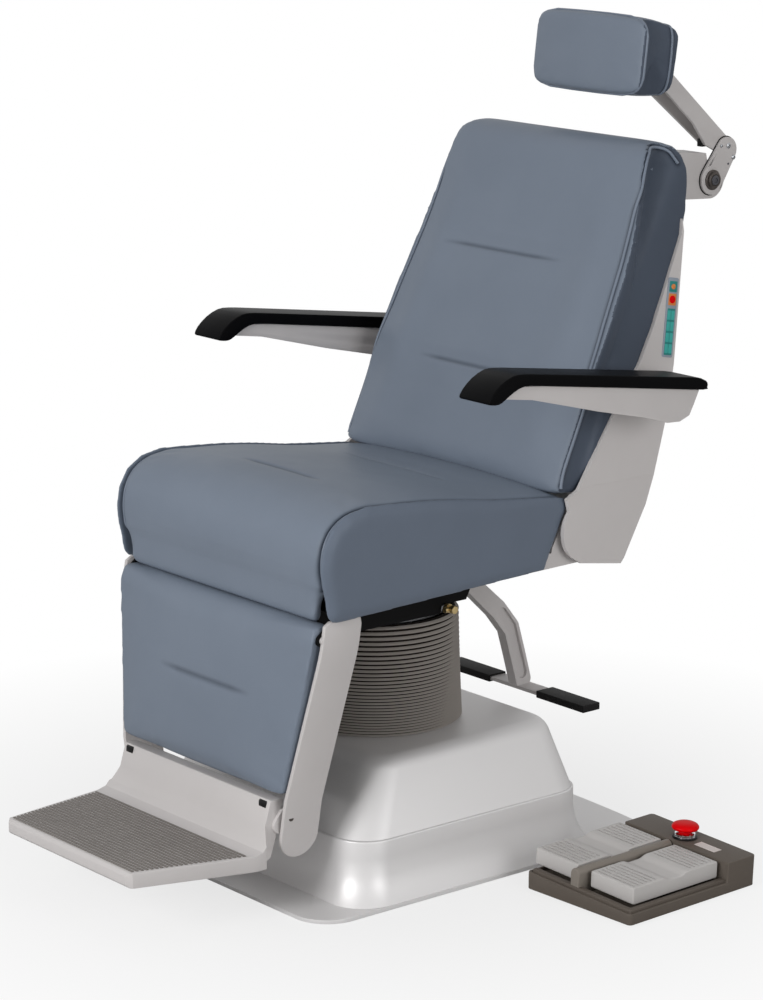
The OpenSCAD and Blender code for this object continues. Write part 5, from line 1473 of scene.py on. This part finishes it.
@dataclass
class HeadLinks:
    """The linkage behind the backrest: bracket, arm, link plates, clamp knob and screws."""

    joint: Flat = (733.0, 1050.0)
    joint_r: float = 22.0
    knob: Flat = (700.0, 1003.0)
    knob_r: float = 25.0
    plate_x: float = 27.3
    plate_t: float = 5.0
    rim: float = 1.7
    screws: Sequence[Triple] = ((719, 1058, 3.0), (736, 1057, 4.8), (748, 1037, 4.2))

    def shadow_sheet(self) -> None:
        """The dark sheet under the near link plate, which shows as a thin line round it: painted shadow at the
        plate's edge.
        """
        outline = belt(self.joint, self.joint_r + self.rim, self.knob, self.knob_r + self.rim)
        piece = drawn("link_shadow_sheet_near", in_side(outline, self.plate_x - 0.25), mm(1.2, 0, 0))
        eased(piece, 0.3, 1)
        mount(piece, "head_link", BLACK)

    def clamp(self) -> None:
        """The clamp knob with its ring, its screw and the nut on the far side."""
        outer = self.plate_x + self.plate_t
        base = mm(outer, *self.knob)
        ring = [(0, -60), (6, -60), (6, 0), (17, 0), (17, 1.6), (15.8, 2.6), (14, 2.8), (13.2, 6.4), (12, 7.2),
                (9.5, 7.2), (8.8, 5.6), (0, 5.6)]
        mount(turned("clamp_ring", ring, base, ACROSS), "head_link", KNOB, ["head_knob"])
        nut = [(0, 0), (11, 0), (11, 3.6), (9.6, 4.8), (0, 5.2)]
        rest = mm(-(self.plate_x - 0.3), *self.knob)
        mount(turned("clamp_nut", nut, rest, -ACROSS, 6), "head_link", BLACK)
        screw = [(0, 5.4), (8.4, 5.4), (8.4, 7.6), (7.4, 8.6), (4.2, 8.9), (3.6, 7.2), (0, 7.0)]
        mount(turned("clamp_screw", screw, base, ACROSS, 36), "head_link", BLACK_STEEL)

    def button_screw(self, name: str, place: Flat, radius: float) -> Object:
        """A round-headed screw with a hexagon socket.

        Args:
            name: Name of the new piece.
            place: Its place on the plate in millimetres.
            radius: Radius of its head in millimetres.

        Returns:
            The screw.
        """
        profile = [(0, 0), (radius, 0), (radius, 0.5), (radius * 0.86, 1.3), (radius * 0.6, 1.9),
                   (radius * 0.45, 2.05), (radius * 0.4, 0.8), (0, 0.8)]
        return turned(name, profile, mm(self.plate_x + self.plate_t, *place), ACROSS, 24)

    def bumper(self) -> Object:
        """The small stop block between the arm and the bracket."""
        low, high = node_box("head_bumper")
        middle = (low + high) / 2
        half = Vector((min(0.006, (high.x - low.x) / 2), 0.0065, 0.0065))
        near = Vector((high.x - half.x, middle.y, middle.z))
        piece = block("head_stop_block", near - half, near + half)
        pick_faces(piece, faces_up)
        bpy.ops.mesh.inset(thickness=0.0022)
        pull(mm(0, 0, 2))
        leave_edit()
        return eased(piece, 0.9, 2)

    def build(self) -> None:
        """Builds the linkage."""
        mount(self.bumper(), "head_link", BLACK, ["head_bumper"])
        mount(cast("head_arm_channel", "head_arm", 1.3, 2), "head_link", PAINT, ["head_arm"])
        mount(cast("head_link_plates", "head_links", 0.9, 2), "head_link", PAINT, ["head_links"])
        mount(cast("head_bracket_casting", "head_bracket", 1.6, 3), "back", PAINT, ["head_bracket"])
        # A dark sheet that paints the shadow line round the link plate.
        self.shadow_sheet()
        self.clamp()
        heads = [self.button_screw(f"head_screw_{i}", (y, z), radius)
                 for i, (y, z, radius) in enumerate(self.screws)]
        mount(joined("head_button_screws", heads), "head_link", STEEL, ["head_screws"])
        dot = turned("head_stop_pin", [(0, 0), (1.8, 0), (1.8, 0.8), (1.2, 1.2), (0, 1.3)],
                     mm(self.plate_x + self.plate_t, 736, 1027), ACROSS, 20)
        mount(dot, "head_link", BLACK_STEEL)


@dataclass
class Armrests:
    """The two armrests: soft black caps on painted shells."""

    cap_round: float = 7.0
    cap_end: float = 14.0
    shell_round: float = 2.6
    shell_end: float = 9.0

    def build(self) -> None:
        """Builds both armrests."""
        for side in ("right", "left"):
            cap = copied_node(f"armrest_cap_{side}", f"arm_cap_{side}")
            self.round_end(cap, self.cap_end, UPWARD, 0.0)
            mount(eased(cap, self.cap_round, 5, 60), f"arm_{side}", CAP_BLACK, [f"arm_cap_{side}"])
            shell = copied_node(f"armrest_shell_{side}", f"arm_shell_{side}")
            self.round_end(shell, self.shell_end, ACROSS, 0.04)
            mount(eased(shell, self.shell_round, 3, 60), f"arm_{side}", PAINT, [f"arm_shell_{side}"])

    def round_end(self, piece: Object, width: float, along: Vector, reach: float) -> None:
        """Rounds the edges at the rear end of a piece that run one way.

        Args:
            piece: The piece that is worked on.
            width: Width of the round in millimetres.
            along: Direction of the edges.
            reach: How far before the rear end an edge may lie, in metres.
        """
        rear = float(coordinates(piece.data)[:, 1].max()) - reach - 0.002
        pick_edges(piece, lambda a, b: min(a.y, b.y) > rear and abs((a - b).normalized().dot(along)) > 0.99)
        round_picked(width, 6, clamp=True)


@dataclass
class FootLever:
    """The foot lever behind the seat: a cast post and two ribbed grips."""

    def build(self) -> None:
        """Builds the post and the grips."""
        mount(cast("lever_casting", "lever_post", 2.2, 3), "lever", PAINT, ["lever_post"])
        mount(cast("lever_grip_sleeves", "lever_grips", 2.0, 3), "lever", RUBBER, ["lever_grips"])


@dataclass
class FootControl:
    """The foot control: a moulded case, a ridge, two rocker pedals and the stop button."""

    place: Flat = (445.0, 166.0)
    yaw: float = 2.2
    slope: float = 2.8
    half: Flat = (111.0, 137.0)
    corner: float = 7.0
    rim_z: float = 24.0
    deck_z: float = 56.0
    deck_l: float = 62.0
    well_z: float = 17.0
    well_in: float = 5.0
    lip_in: float = 4.5
    lip_w: float = 9.5
    lip_z: float = 29.0
    ridge_x: float = -14.0
    ridge_r: float = 9.0
    ridge_z: float = 48.0
    pedal_y: float = -22.0
    pedals: Sequence[tuple[str, float]] = (("right", 48.0), ("left", -71.0))
    pedal_half: Flat = (45.0, 92.0)
    pedal_z: Flat = (28.4, 55.0)
    groove_pitch: float = 9.2
    groove_w: float = 3.0
    groove_in: float = 6.0
    pedal_dip: float = 4.6
    grooves: int = 6
    stop: Flat = (-7.0, 102.0)

    def matrix(self) -> Matrix:
        """From the control's own sloping frame to the chair's, in metres."""
        turn = Matrix.Rotation(math.radians(self.yaw), 4, "Z") @ Matrix.Rotation(math.radians(self.slope), 4, "Y")
        return Matrix.Translation(mm(*self.place, 0)) @ turn

    def placed(self, piece: Object) -> Object:
        """Moves a piece from the control's frame to the chair's."""
        piece.data.transform(self.matrix())
        return piece

    def case(self) -> Object:
        """The case: a tray with a stepped well and a raised deck behind it."""
        w, l = self.half
        piece = block("control_case_shell", mm(-w, -l, 14), mm(w, l, self.rim_z))
        pick_edges(piece, runs_up)
        round_picked(self.corner, 5)
        deck_y = l - self.deck_l
        split_at(piece, [mm(0, deck_y, 0)], REARWARD)
        pick_faces(piece, lambda at, normal: normal.z > 0.9 and at.y > deck_y * MM)
        pull(mm(0, 0, self.deck_z - self.rim_z))
        leave_edit()
        pick_faces(piece, lambda at, normal: normal.z > 0.9 and at.y < deck_y * MM)
        bpy.ops.mesh.inset(thickness=self.well_in * MM)
        pull(mm(0, 0, self.well_z - self.rim_z))
        leave_edit()
        self.placed(piece)
        pick_faces(piece, faces_down)
        pull(mm(0, 0, -6))
        bpy.ops.transform.resize(value=(1, 1, 0), center_override=(0, 0, MM))
        leave_edit()
        return eased(piece, 1.6, 3)

    def lip(self) -> Object:
        """The raised inner step along the front and the near side of the well."""
        w, l = self.half
        deck_y = l - self.deck_l
        a, b = self.lip_in, self.lip_in + self.lip_w
        outline = [(-w + 8, -l + a), (w - a, -l + a), (w - a, deck_y + 4), (w - b, deck_y + 4),
                   (w - b, -l + b), (-w + 8, -l + b)]
        points = [mm(x, y, self.well_z - 1) for x, y in outline]
        piece = drawn("control_lip", points, mm(0, 0, self.lip_z - self.well_z + 1))
        eased(piece, 1.4, 3, 60)
        return self.placed(piece)

    def ridge(self) -> Object:
        """The round-topped ridge between the pedals."""
        r = self.ridge_r
        arch = [(self.ridge_x + r * math.cos(math.pi * k / 16), self.ridge_z + r * math.sin(math.pi * k / 16))
                for k in range(17)]
        section = [(self.ridge_x - r, self.well_z), (self.ridge_x + r, self.well_z), *arch]
        points = [mm(x, -131.5, z) for x, z in section]
        piece = drawn("control_ridge", points, mm(0, 204.8, 0))
        eased(piece, 2.0, 3, 60)
        return self.placed(piece)

    def pedal(self) -> Object:
        """One rocker pedal at the control's middle: a grooved plate with a dip half way along."""
        w, l = self.pedal_half
        low, top = self.pedal_z
        dip = top - self.pedal_dip
        outline = [(-l, low), (l, low), (l, top), (24, top), (13, dip), (-13, dip), (-24, top), (-l, top)]
        piece = drawn("rocker_pedal", in_side(rounded(outline, 4, 3), -w), mm(2 * w, 0, 0))
        eased(piece, 1.8, 3, 60)
        rows = []
        for end in (-1, 1):
            for i in range(self.grooves):
                middle = end * (l - 8 - i * self.groove_pitch)
                rows.append((middle - self.groove_w / 2, middle + self.groove_w / 2))
        end_x = w - self.groove_in
        split_at(piece, [mm(0, y, 0) for ends in rows for y in ends], REARWARD)
        split_at(piece, [mm(x, 0, 0) for x in (-end_x, end_x)], ACROSS)
        pick_faces(piece, lambda at, normal: normal.z > 0.99 and abs(at.x) < end_x * MM
                   and any(a * MM < at.y < b * MM for a, b in rows))
        pull(mm(0, 0, -1.6))
        leave_edit()
        smooth(piece, math.radians(30))
        return piece

    def pedal_pair(self) -> None:
        """The two pedals, with painted shade on the floors of their grooves."""
        first = self.pedal()
        back = self.matrix().inverted()
        depth = (self.pedal_z[1] - 1.0) * MM

        def in_groove(at: Vector, normal: Vector) -> bool:
            """Whether a face of a placed pedal is the floor of a groove."""
            at, normal = back @ at, back.to_3x3() @ normal
            return (normal.z > 0.99 and depth - 1.2 * MM < at.z < depth
                    and abs(at.y - self.pedal_y * MM) > 28 * MM)

        for side, x in self.pedals:
            piece = copied(first, f"rocker_pedal_{side}", Matrix.Translation(mm(x, self.pedal_y, 0)))
            mount(self.placed(piece), f"pedal_{side}", PEDAL, [f"pedal_{side}"])
            # The groove floors get painted shade.
            painted(piece, PEDAL_GROOVE_SHADE, in_groove)
        bpy.data.objects.remove(first)

    def axle(self) -> None:
        """The axle through both pedals, with its ends inside them."""
        low, high = node_box("pedal_pin")
        middle = self.matrix().inverted() @ ((low + high) / 2)
        start = Vector((-0.108, middle.y, middle.z))
        rod = turned("pedal_axle", [(0, 0), (3.4, 0), (4, 0.6), (4, 196.4), (3.4, 197), (0, 197)], start,
                     ACROSS, 24)
        mount(self.placed(rod), "base", STEEL, ["pedal_pin"])

    def stop_button(self) -> None:
        """The mushroom button on its bright collar."""
        base = mm(*self.stop, 0)
        head = [(0, 49), (9.5, 49), (9.5, 68.6), (17.5, 69.3), (20.3, 70.4), (21.6, 72.6), (21.5, 74.6),
                (19.8, 77.0), (16.2, 78.8), (11, 79.9), (5.5, 80.3), (0, 80.4)]
        mount(self.placed(turned("stop_mushroom", head, base, UPWARD)), "stop", RED, ["stop_button"])
        collar = [(10.3, 56.2), (16, 56.2), (16, 58), (15, 58.7), (16, 59.4), (16, 60.6), (15, 61.2),
                  (16, 61.8), (16, 63), (15, 63.6), (10.3, 63.6)]
        mount(self.placed(turned("stop_bezel", collar, base, UPWARD)), "base", CHROME, ["stop_collar"])
        ring = [(16.2, 56.1), (19.6, 56.1), (19.6, 57.6), (18.6, 58.6), (16.2, 58.6)]
        mount(self.placed(turned("stop_washer", ring, base, UPWARD)), "base", BLACK)

    def label(self) -> None:
        """A bare plate beside the button."""
        piece = block("bare_plate", mm(24, 90, 55.9), mm(66, 107, 56.5))
        pick_faces(piece, faces_up)
        bpy.ops.mesh.inset(thickness=1.6 * MM)
        pull(mm(0, 0, -0.3))
        leave_edit()
        mount(self.placed(piece), "base", LABEL)

    def build(self) -> None:
        """Builds the control."""
        mount(self.case(), "base", CASE, ["control_case"])
        mount(self.lip(), "base", CASE)
        mount(self.ridge(), "base", CASE_RIDGE, ["control_divider"])
        self.pedal_pair()
        self.axle()
        self.stop_button()
        self.label()


@dataclass
class Keypad:
    """The keypad on the near back plate, with plain keys."""

    root: Triple = (266.0, 0.0, 596.0)
    lean: float = 4.837
    place: Triple = (7.0, 392.5, 241.0)
    tilt: float = 10.0
    half: Flat = (11.0, 62.5)
    plate_t: float = 1.6
    keys: Sequence[float] = (-49.0, -31.5, -14.0, 3.5)

    def matrix(self) -> Matrix:
        """From the keypad's own frame to the chair's, in metres."""
        lean = Matrix.Rotation(math.radians(-self.lean), 4, "Y")
        tilt = Matrix.Rotation(math.radians(-self.tilt), 4, "X")
        return Matrix.Translation(mm(*self.root)) @ lean @ Matrix.Translation(mm(*self.place)) @ tilt

    def tile(self, name: str, low: Flat, high: Flat, radius: float, base: float, thick: float) -> Object:
        """A flat tile with round corners.

        Args:
            name: Name of the new piece.
            low: Its lower corner across and up, in millimetres.
            high: Its upper corner.
            radius: Radius of its corners.
            base: Height of its foot above the back plate.
            thick: Its thickness.

        Returns:
            The tile, in the chair's frame.
        """
        corners = [low, (high[0], low[1]), high, (low[0], high[1])]
        piece = drawn(name, in_side(rounded(corners, radius, 4), base), mm(thick, 0, 0))
        eased(piece, min(0.4, thick / 3), 2, 60)
        piece.data.transform(self.matrix())
        return piece

    def round_key(self, name: str, up: float, radius: float, base: float) -> Object:
        """A round key with a soft top, in the chair's frame."""
        profile = [(0, 0), (radius, 0), (radius, 0.7), (radius * 0.82, 1.1), (radius * 0.4, 1.25), (0, 1.3)]
        piece = turned(name, profile, mm(base, 0, up), ACROSS, 32)
        piece.data.transform(self.matrix())
        return piece

    def build(self) -> None:
        """Builds the keypad."""
        w, l = self.half
        t = self.plate_t
        mount(self.tile("keypad_plate", (-w, -l), (w, l), 3.5, 0, t), "back", PAD_BORDER, ["keypad"])
        panels = [self.tile("panel_low", (-8.2, -59), (8.2, 14), 1.5, t, 0.25),
                  self.tile("panel_high", (-8.2, 40), (8.2, 57), 1.5, t, 0.25)]
        mount(joined("keypad_panels", panels), "back", TEAL_DEEP)
        keys = [self.tile(f"key_{i}_{k}", (x, z - 7.2), (x + 7.2, z + 7.2), 1.4, t + 0.2, 0.7)
                for i, z in enumerate(self.keys) for k, x in enumerate((-7.6, 0.4))]
        mount(joined("keypad_keys", keys), "back", TEAL)
        mount(self.tile("orange_tile", (-8.2, 19), (8.2, 37.5), 1.5, t, 0.35), "back", ORANGE)
        mount(self.round_key("red_key", 28.3, 6.2, t + 0.3), "back", RED)
        mount(self.round_key("orange_key", 48.5, 4.2, t + 0.2), "back", ORANGE)


@dataclass
class Fittings:
    """The brass hose elbow under the seat."""

    def build(self) -> None:
        """Builds the elbow over its CAD solid's place."""
        low, high = node_box("hose_fitting")
        base = Vector((low.x, (low.y + high.y) / 2, (low.z + high.z) / 2))
        nut = [(0, 0), (7.4, 0), (8, 1), (8, 6.4), (7.4, 7.4), (0, 7.4)]
        neck = [(0, 7), (4.4, 7), (4.4, 9), (5.2, 9.6), (5.2, 10.6), (4.4, 11.2), (4.4, 15), (0, 15)]
        cap = [(0, 14.6), (6.4, 14.6), (7, 15.4), (7, 20.6), (6.4, 21.6), (3.4, 22), (0, 22)]
        spout = [(0, 0), (3.6, 0), (3.6, 9), (4.8, 9.6), (4.8, 13), (0, 13)]
        parts = [turned("hose_nut", nut, base, ACROSS, 6), turned("hose_neck", neck, base, ACROSS, 32),
                 turned("hose_cap", cap, base, ACROSS, 6),
                 turned("hose_spout", spout, base + mm(11, 0, 0), -REARWARD, 24)]
        for part in parts:
            smooth(part, math.radians(35))
        mount(joined("hose_elbow", parts), "seat", BRASS, ["hose_fitting"])


# --------------------------------------------------------------------------- studio


@dataclass
class Studio:
    """The pale floor, the soft lamps and the camera."""

    eye: Triple = (3.911, -3.186, 1.757)
    azimuth: float = 50.7
    elevation: float = 13.4
    lens: float = 118.8

    def camera(self) -> None:
        """Places the camera at the photograph's viewing angle."""
        data = bpy.data.cameras.new("Camera")
        data.lens = self.lens
        data.sensor_width = 36.0
        data.clip_end = 60.0
        camera = bpy.data.objects.new("Camera", data)
        bpy.context.scene.collection.objects.link(camera)
        camera.location = self.eye
        camera.rotation_euler = (math.radians(90 - self.elevation), 0, math.radians(self.azimuth))
        bpy.context.scene.camera = camera

    def lamp(self, name: str, place: Vector, target: Vector, size: float, power: float) -> None:
        """Adds a soft lamp that faces a point.

        Args:
            name: Name of the lamp.
            place: Where it stands, in metres.
            target: What it faces.
            size: Side of its square, in metres.
            power: Its power in watts.
        """
        data = bpy.data.lights.new(name, "AREA")
        data.size = size
        data.energy = power
        lamp = bpy.data.objects.new(name, data)
        bpy.context.scene.collection.objects.link(lamp)
        lamp.location = place
        lamp.rotation_euler = (target - place).to_track_quat("-Z", "Y").to_euler()

    def background(self) -> None:
        """Lights the room evenly, and shows it white to the camera."""
        world = bpy.data.worlds.new("World")
        bpy.context.scene.world = world
        world.use_nodes = True
        tree = world.node_tree
        tree.nodes.clear()
        path = shader_node(tree, "LightPath")
        seen = shader_node(tree, "Math", operation="MAXIMUM")
        also = shader_node(tree, "Math", operation="MAXIMUM")
        soft = shader_node(tree, "Background", Color=(1.0, 0.99, 0.98, 1), Strength=0.34)
        white = shader_node(tree, "Background")
        mix = shader_node(tree, "MixShader")
        out = shader_node(tree, "OutputWorld")
        link = tree.links.new
        link(path.outputs["Is Camera Ray"], seen.inputs[0])
        link(path.outputs["Is Transmission Ray"], seen.inputs[1])
        link(seen.outputs[0], also.inputs[0])
        link(path.outputs["Is Glossy Ray"], also.inputs[1])
        link(also.outputs[0], mix.inputs["Fac"])
        link(soft.outputs[0], mix.inputs[1])
        link(white.outputs[0], mix.inputs[2])
        link(mix.outputs[0], out.inputs["Surface"])

    def floor(self) -> None:
        """Lays the pale floor, which keeps the chair's shadow."""
        clear_selection()
        bpy.ops.mesh.primitive_plane_add(size=60, location=(0, 0, -0.0005))
        floor = bpy.context.object
        floor.name = "studio_floor"
        made = bpy.data.materials.new("studio_floor")
        made.use_nodes = True
        tree = made.node_tree
        tree.nodes.clear()
        link = tree.links.new
        matt = shader_node(tree, "BsdfDiffuse", Color=(0.66, 0.66, 0.66, 1))
        glow = shader_node(tree, "Emission")
        path = shader_node(tree, "LightPath")
        seen = shader_node(tree, "Math", operation="MAXIMUM")
        place = shader_node(tree, "TexCoord")
        away = shader_node(tree, "VectorMath", operation="LENGTH")
        far = shader_node(tree, "MapRange", From_Min=0.3, From_Max=1.2, To_Min=0.72, To_Max=1.0)
        share = shader_node(tree, "Math", operation="MULTIPLY")
        mix = shader_node(tree, "MixShader")
        out = shader_node(tree, "OutputMaterial")
        link(path.outputs["Is Camera Ray"], seen.inputs[0])
        link(path.outputs["Is Transmission Ray"], seen.inputs[1])
        link(place.outputs["Object"], away.inputs[0])
        link(away.outputs["Value"], far.inputs["Value"])
        link(seen.outputs[0], share.inputs[0])
        link(far.outputs["Result"], share.inputs[1])
        link(share.outputs[0], mix.inputs["Fac"])
        link(matt.outputs[0], mix.inputs[1])
        link(glow.outputs[0], mix.inputs[2])
        link(mix.outputs[0], out.inputs["Surface"])
        floor.data.materials.append(made)

    def build(self) -> None:
        """Sets the studio up."""
        scene = bpy.context.scene
        scene.view_settings.view_transform = "Standard"
        self.camera()
        self.background()
        self.floor()
        middle = Vector((0, 0, 0.6))
        self.lamp("key_lamp", Vector((0.5, -3.9, 2.0)), middle, 1.5, 88)
        self.lamp("side_lamp", Vector((3.9, 0.1, 1.5)), middle, 1.8, 40)
        self.lamp("top_lamp", Vector((-0.6, 0.4, 3.6)), middle, 2.4, 5)


# --------------------------------------------------------------------------- main


def dress_plain_nodes() -> None:
    """Gives the CAD nodes their finishes, also those that a piece stands in for later."""
    dress_nodes({
        PAINT: ("seat_plates", "back_plates", "head_bracket", "arm_hub_right", "arm_hub_left", "arm_shell_right",
                "arm_shell_left", "head_links", "head_arm", "lever_post", "recline_shaft", "leg_pins"),
        STEEL: ("guide_bushes", "column_bolts", "lift_tube", "head_screws", "column_tube"),
        CHROME: ("lift_plunger", "stop_collar"),
        BLACK_STEEL: ("lift_barrel", "swivel_ring", "recline_barrel", "drive_bar", "pump_unit"),
        FRAME_BLACK: ("seat_frame", "seat_pan"),
        # The vinyl-covered back board takes the darker vinyl copy, which is painted shade.
        VINYL_PAINTED_SHADE: ("back_board",),
        KNOB: ("foot_screws",),
        BLACK: ("control_box", "mains_inlet", "leg_board", "head_board", "head_knob"),
        CAP_BLACK: ("arm_cap_right", "arm_cap_left"),
        TREAD: ("foot_tread",),
        RUBBER: ("lever_grips", "control_feet", "head_bumper"),
        HOUSING: ("back_cover",),
        CASE: ("control_case", "control_divider"),
        PAD_BORDER: ("keypad",),
        PEDAL: ("pedal_right", "pedal_left"),
        RED: ("stop_button",),
        BRASS: ("hose_fitting",),
    })


def main() -> None:
    """Builds the studio and every sub-assembly in order."""
    logging.basicConfig(level=logging.INFO, format="%(name)s: %(message)s")
    Studio().build()
    dress_plain_nodes()
    for part in (Base(), BellowsSleeve(), Seat(), Backrest(), LegRest(), Headrest(), HeadLinks(), Armrests(),
                 FootLever(), FootControl(), Keypad(), Fittings()):
        log.info("building %s", type(part).__name__)
        part.build()
    clear_selection()


if __name__ == "__main__":
    main()
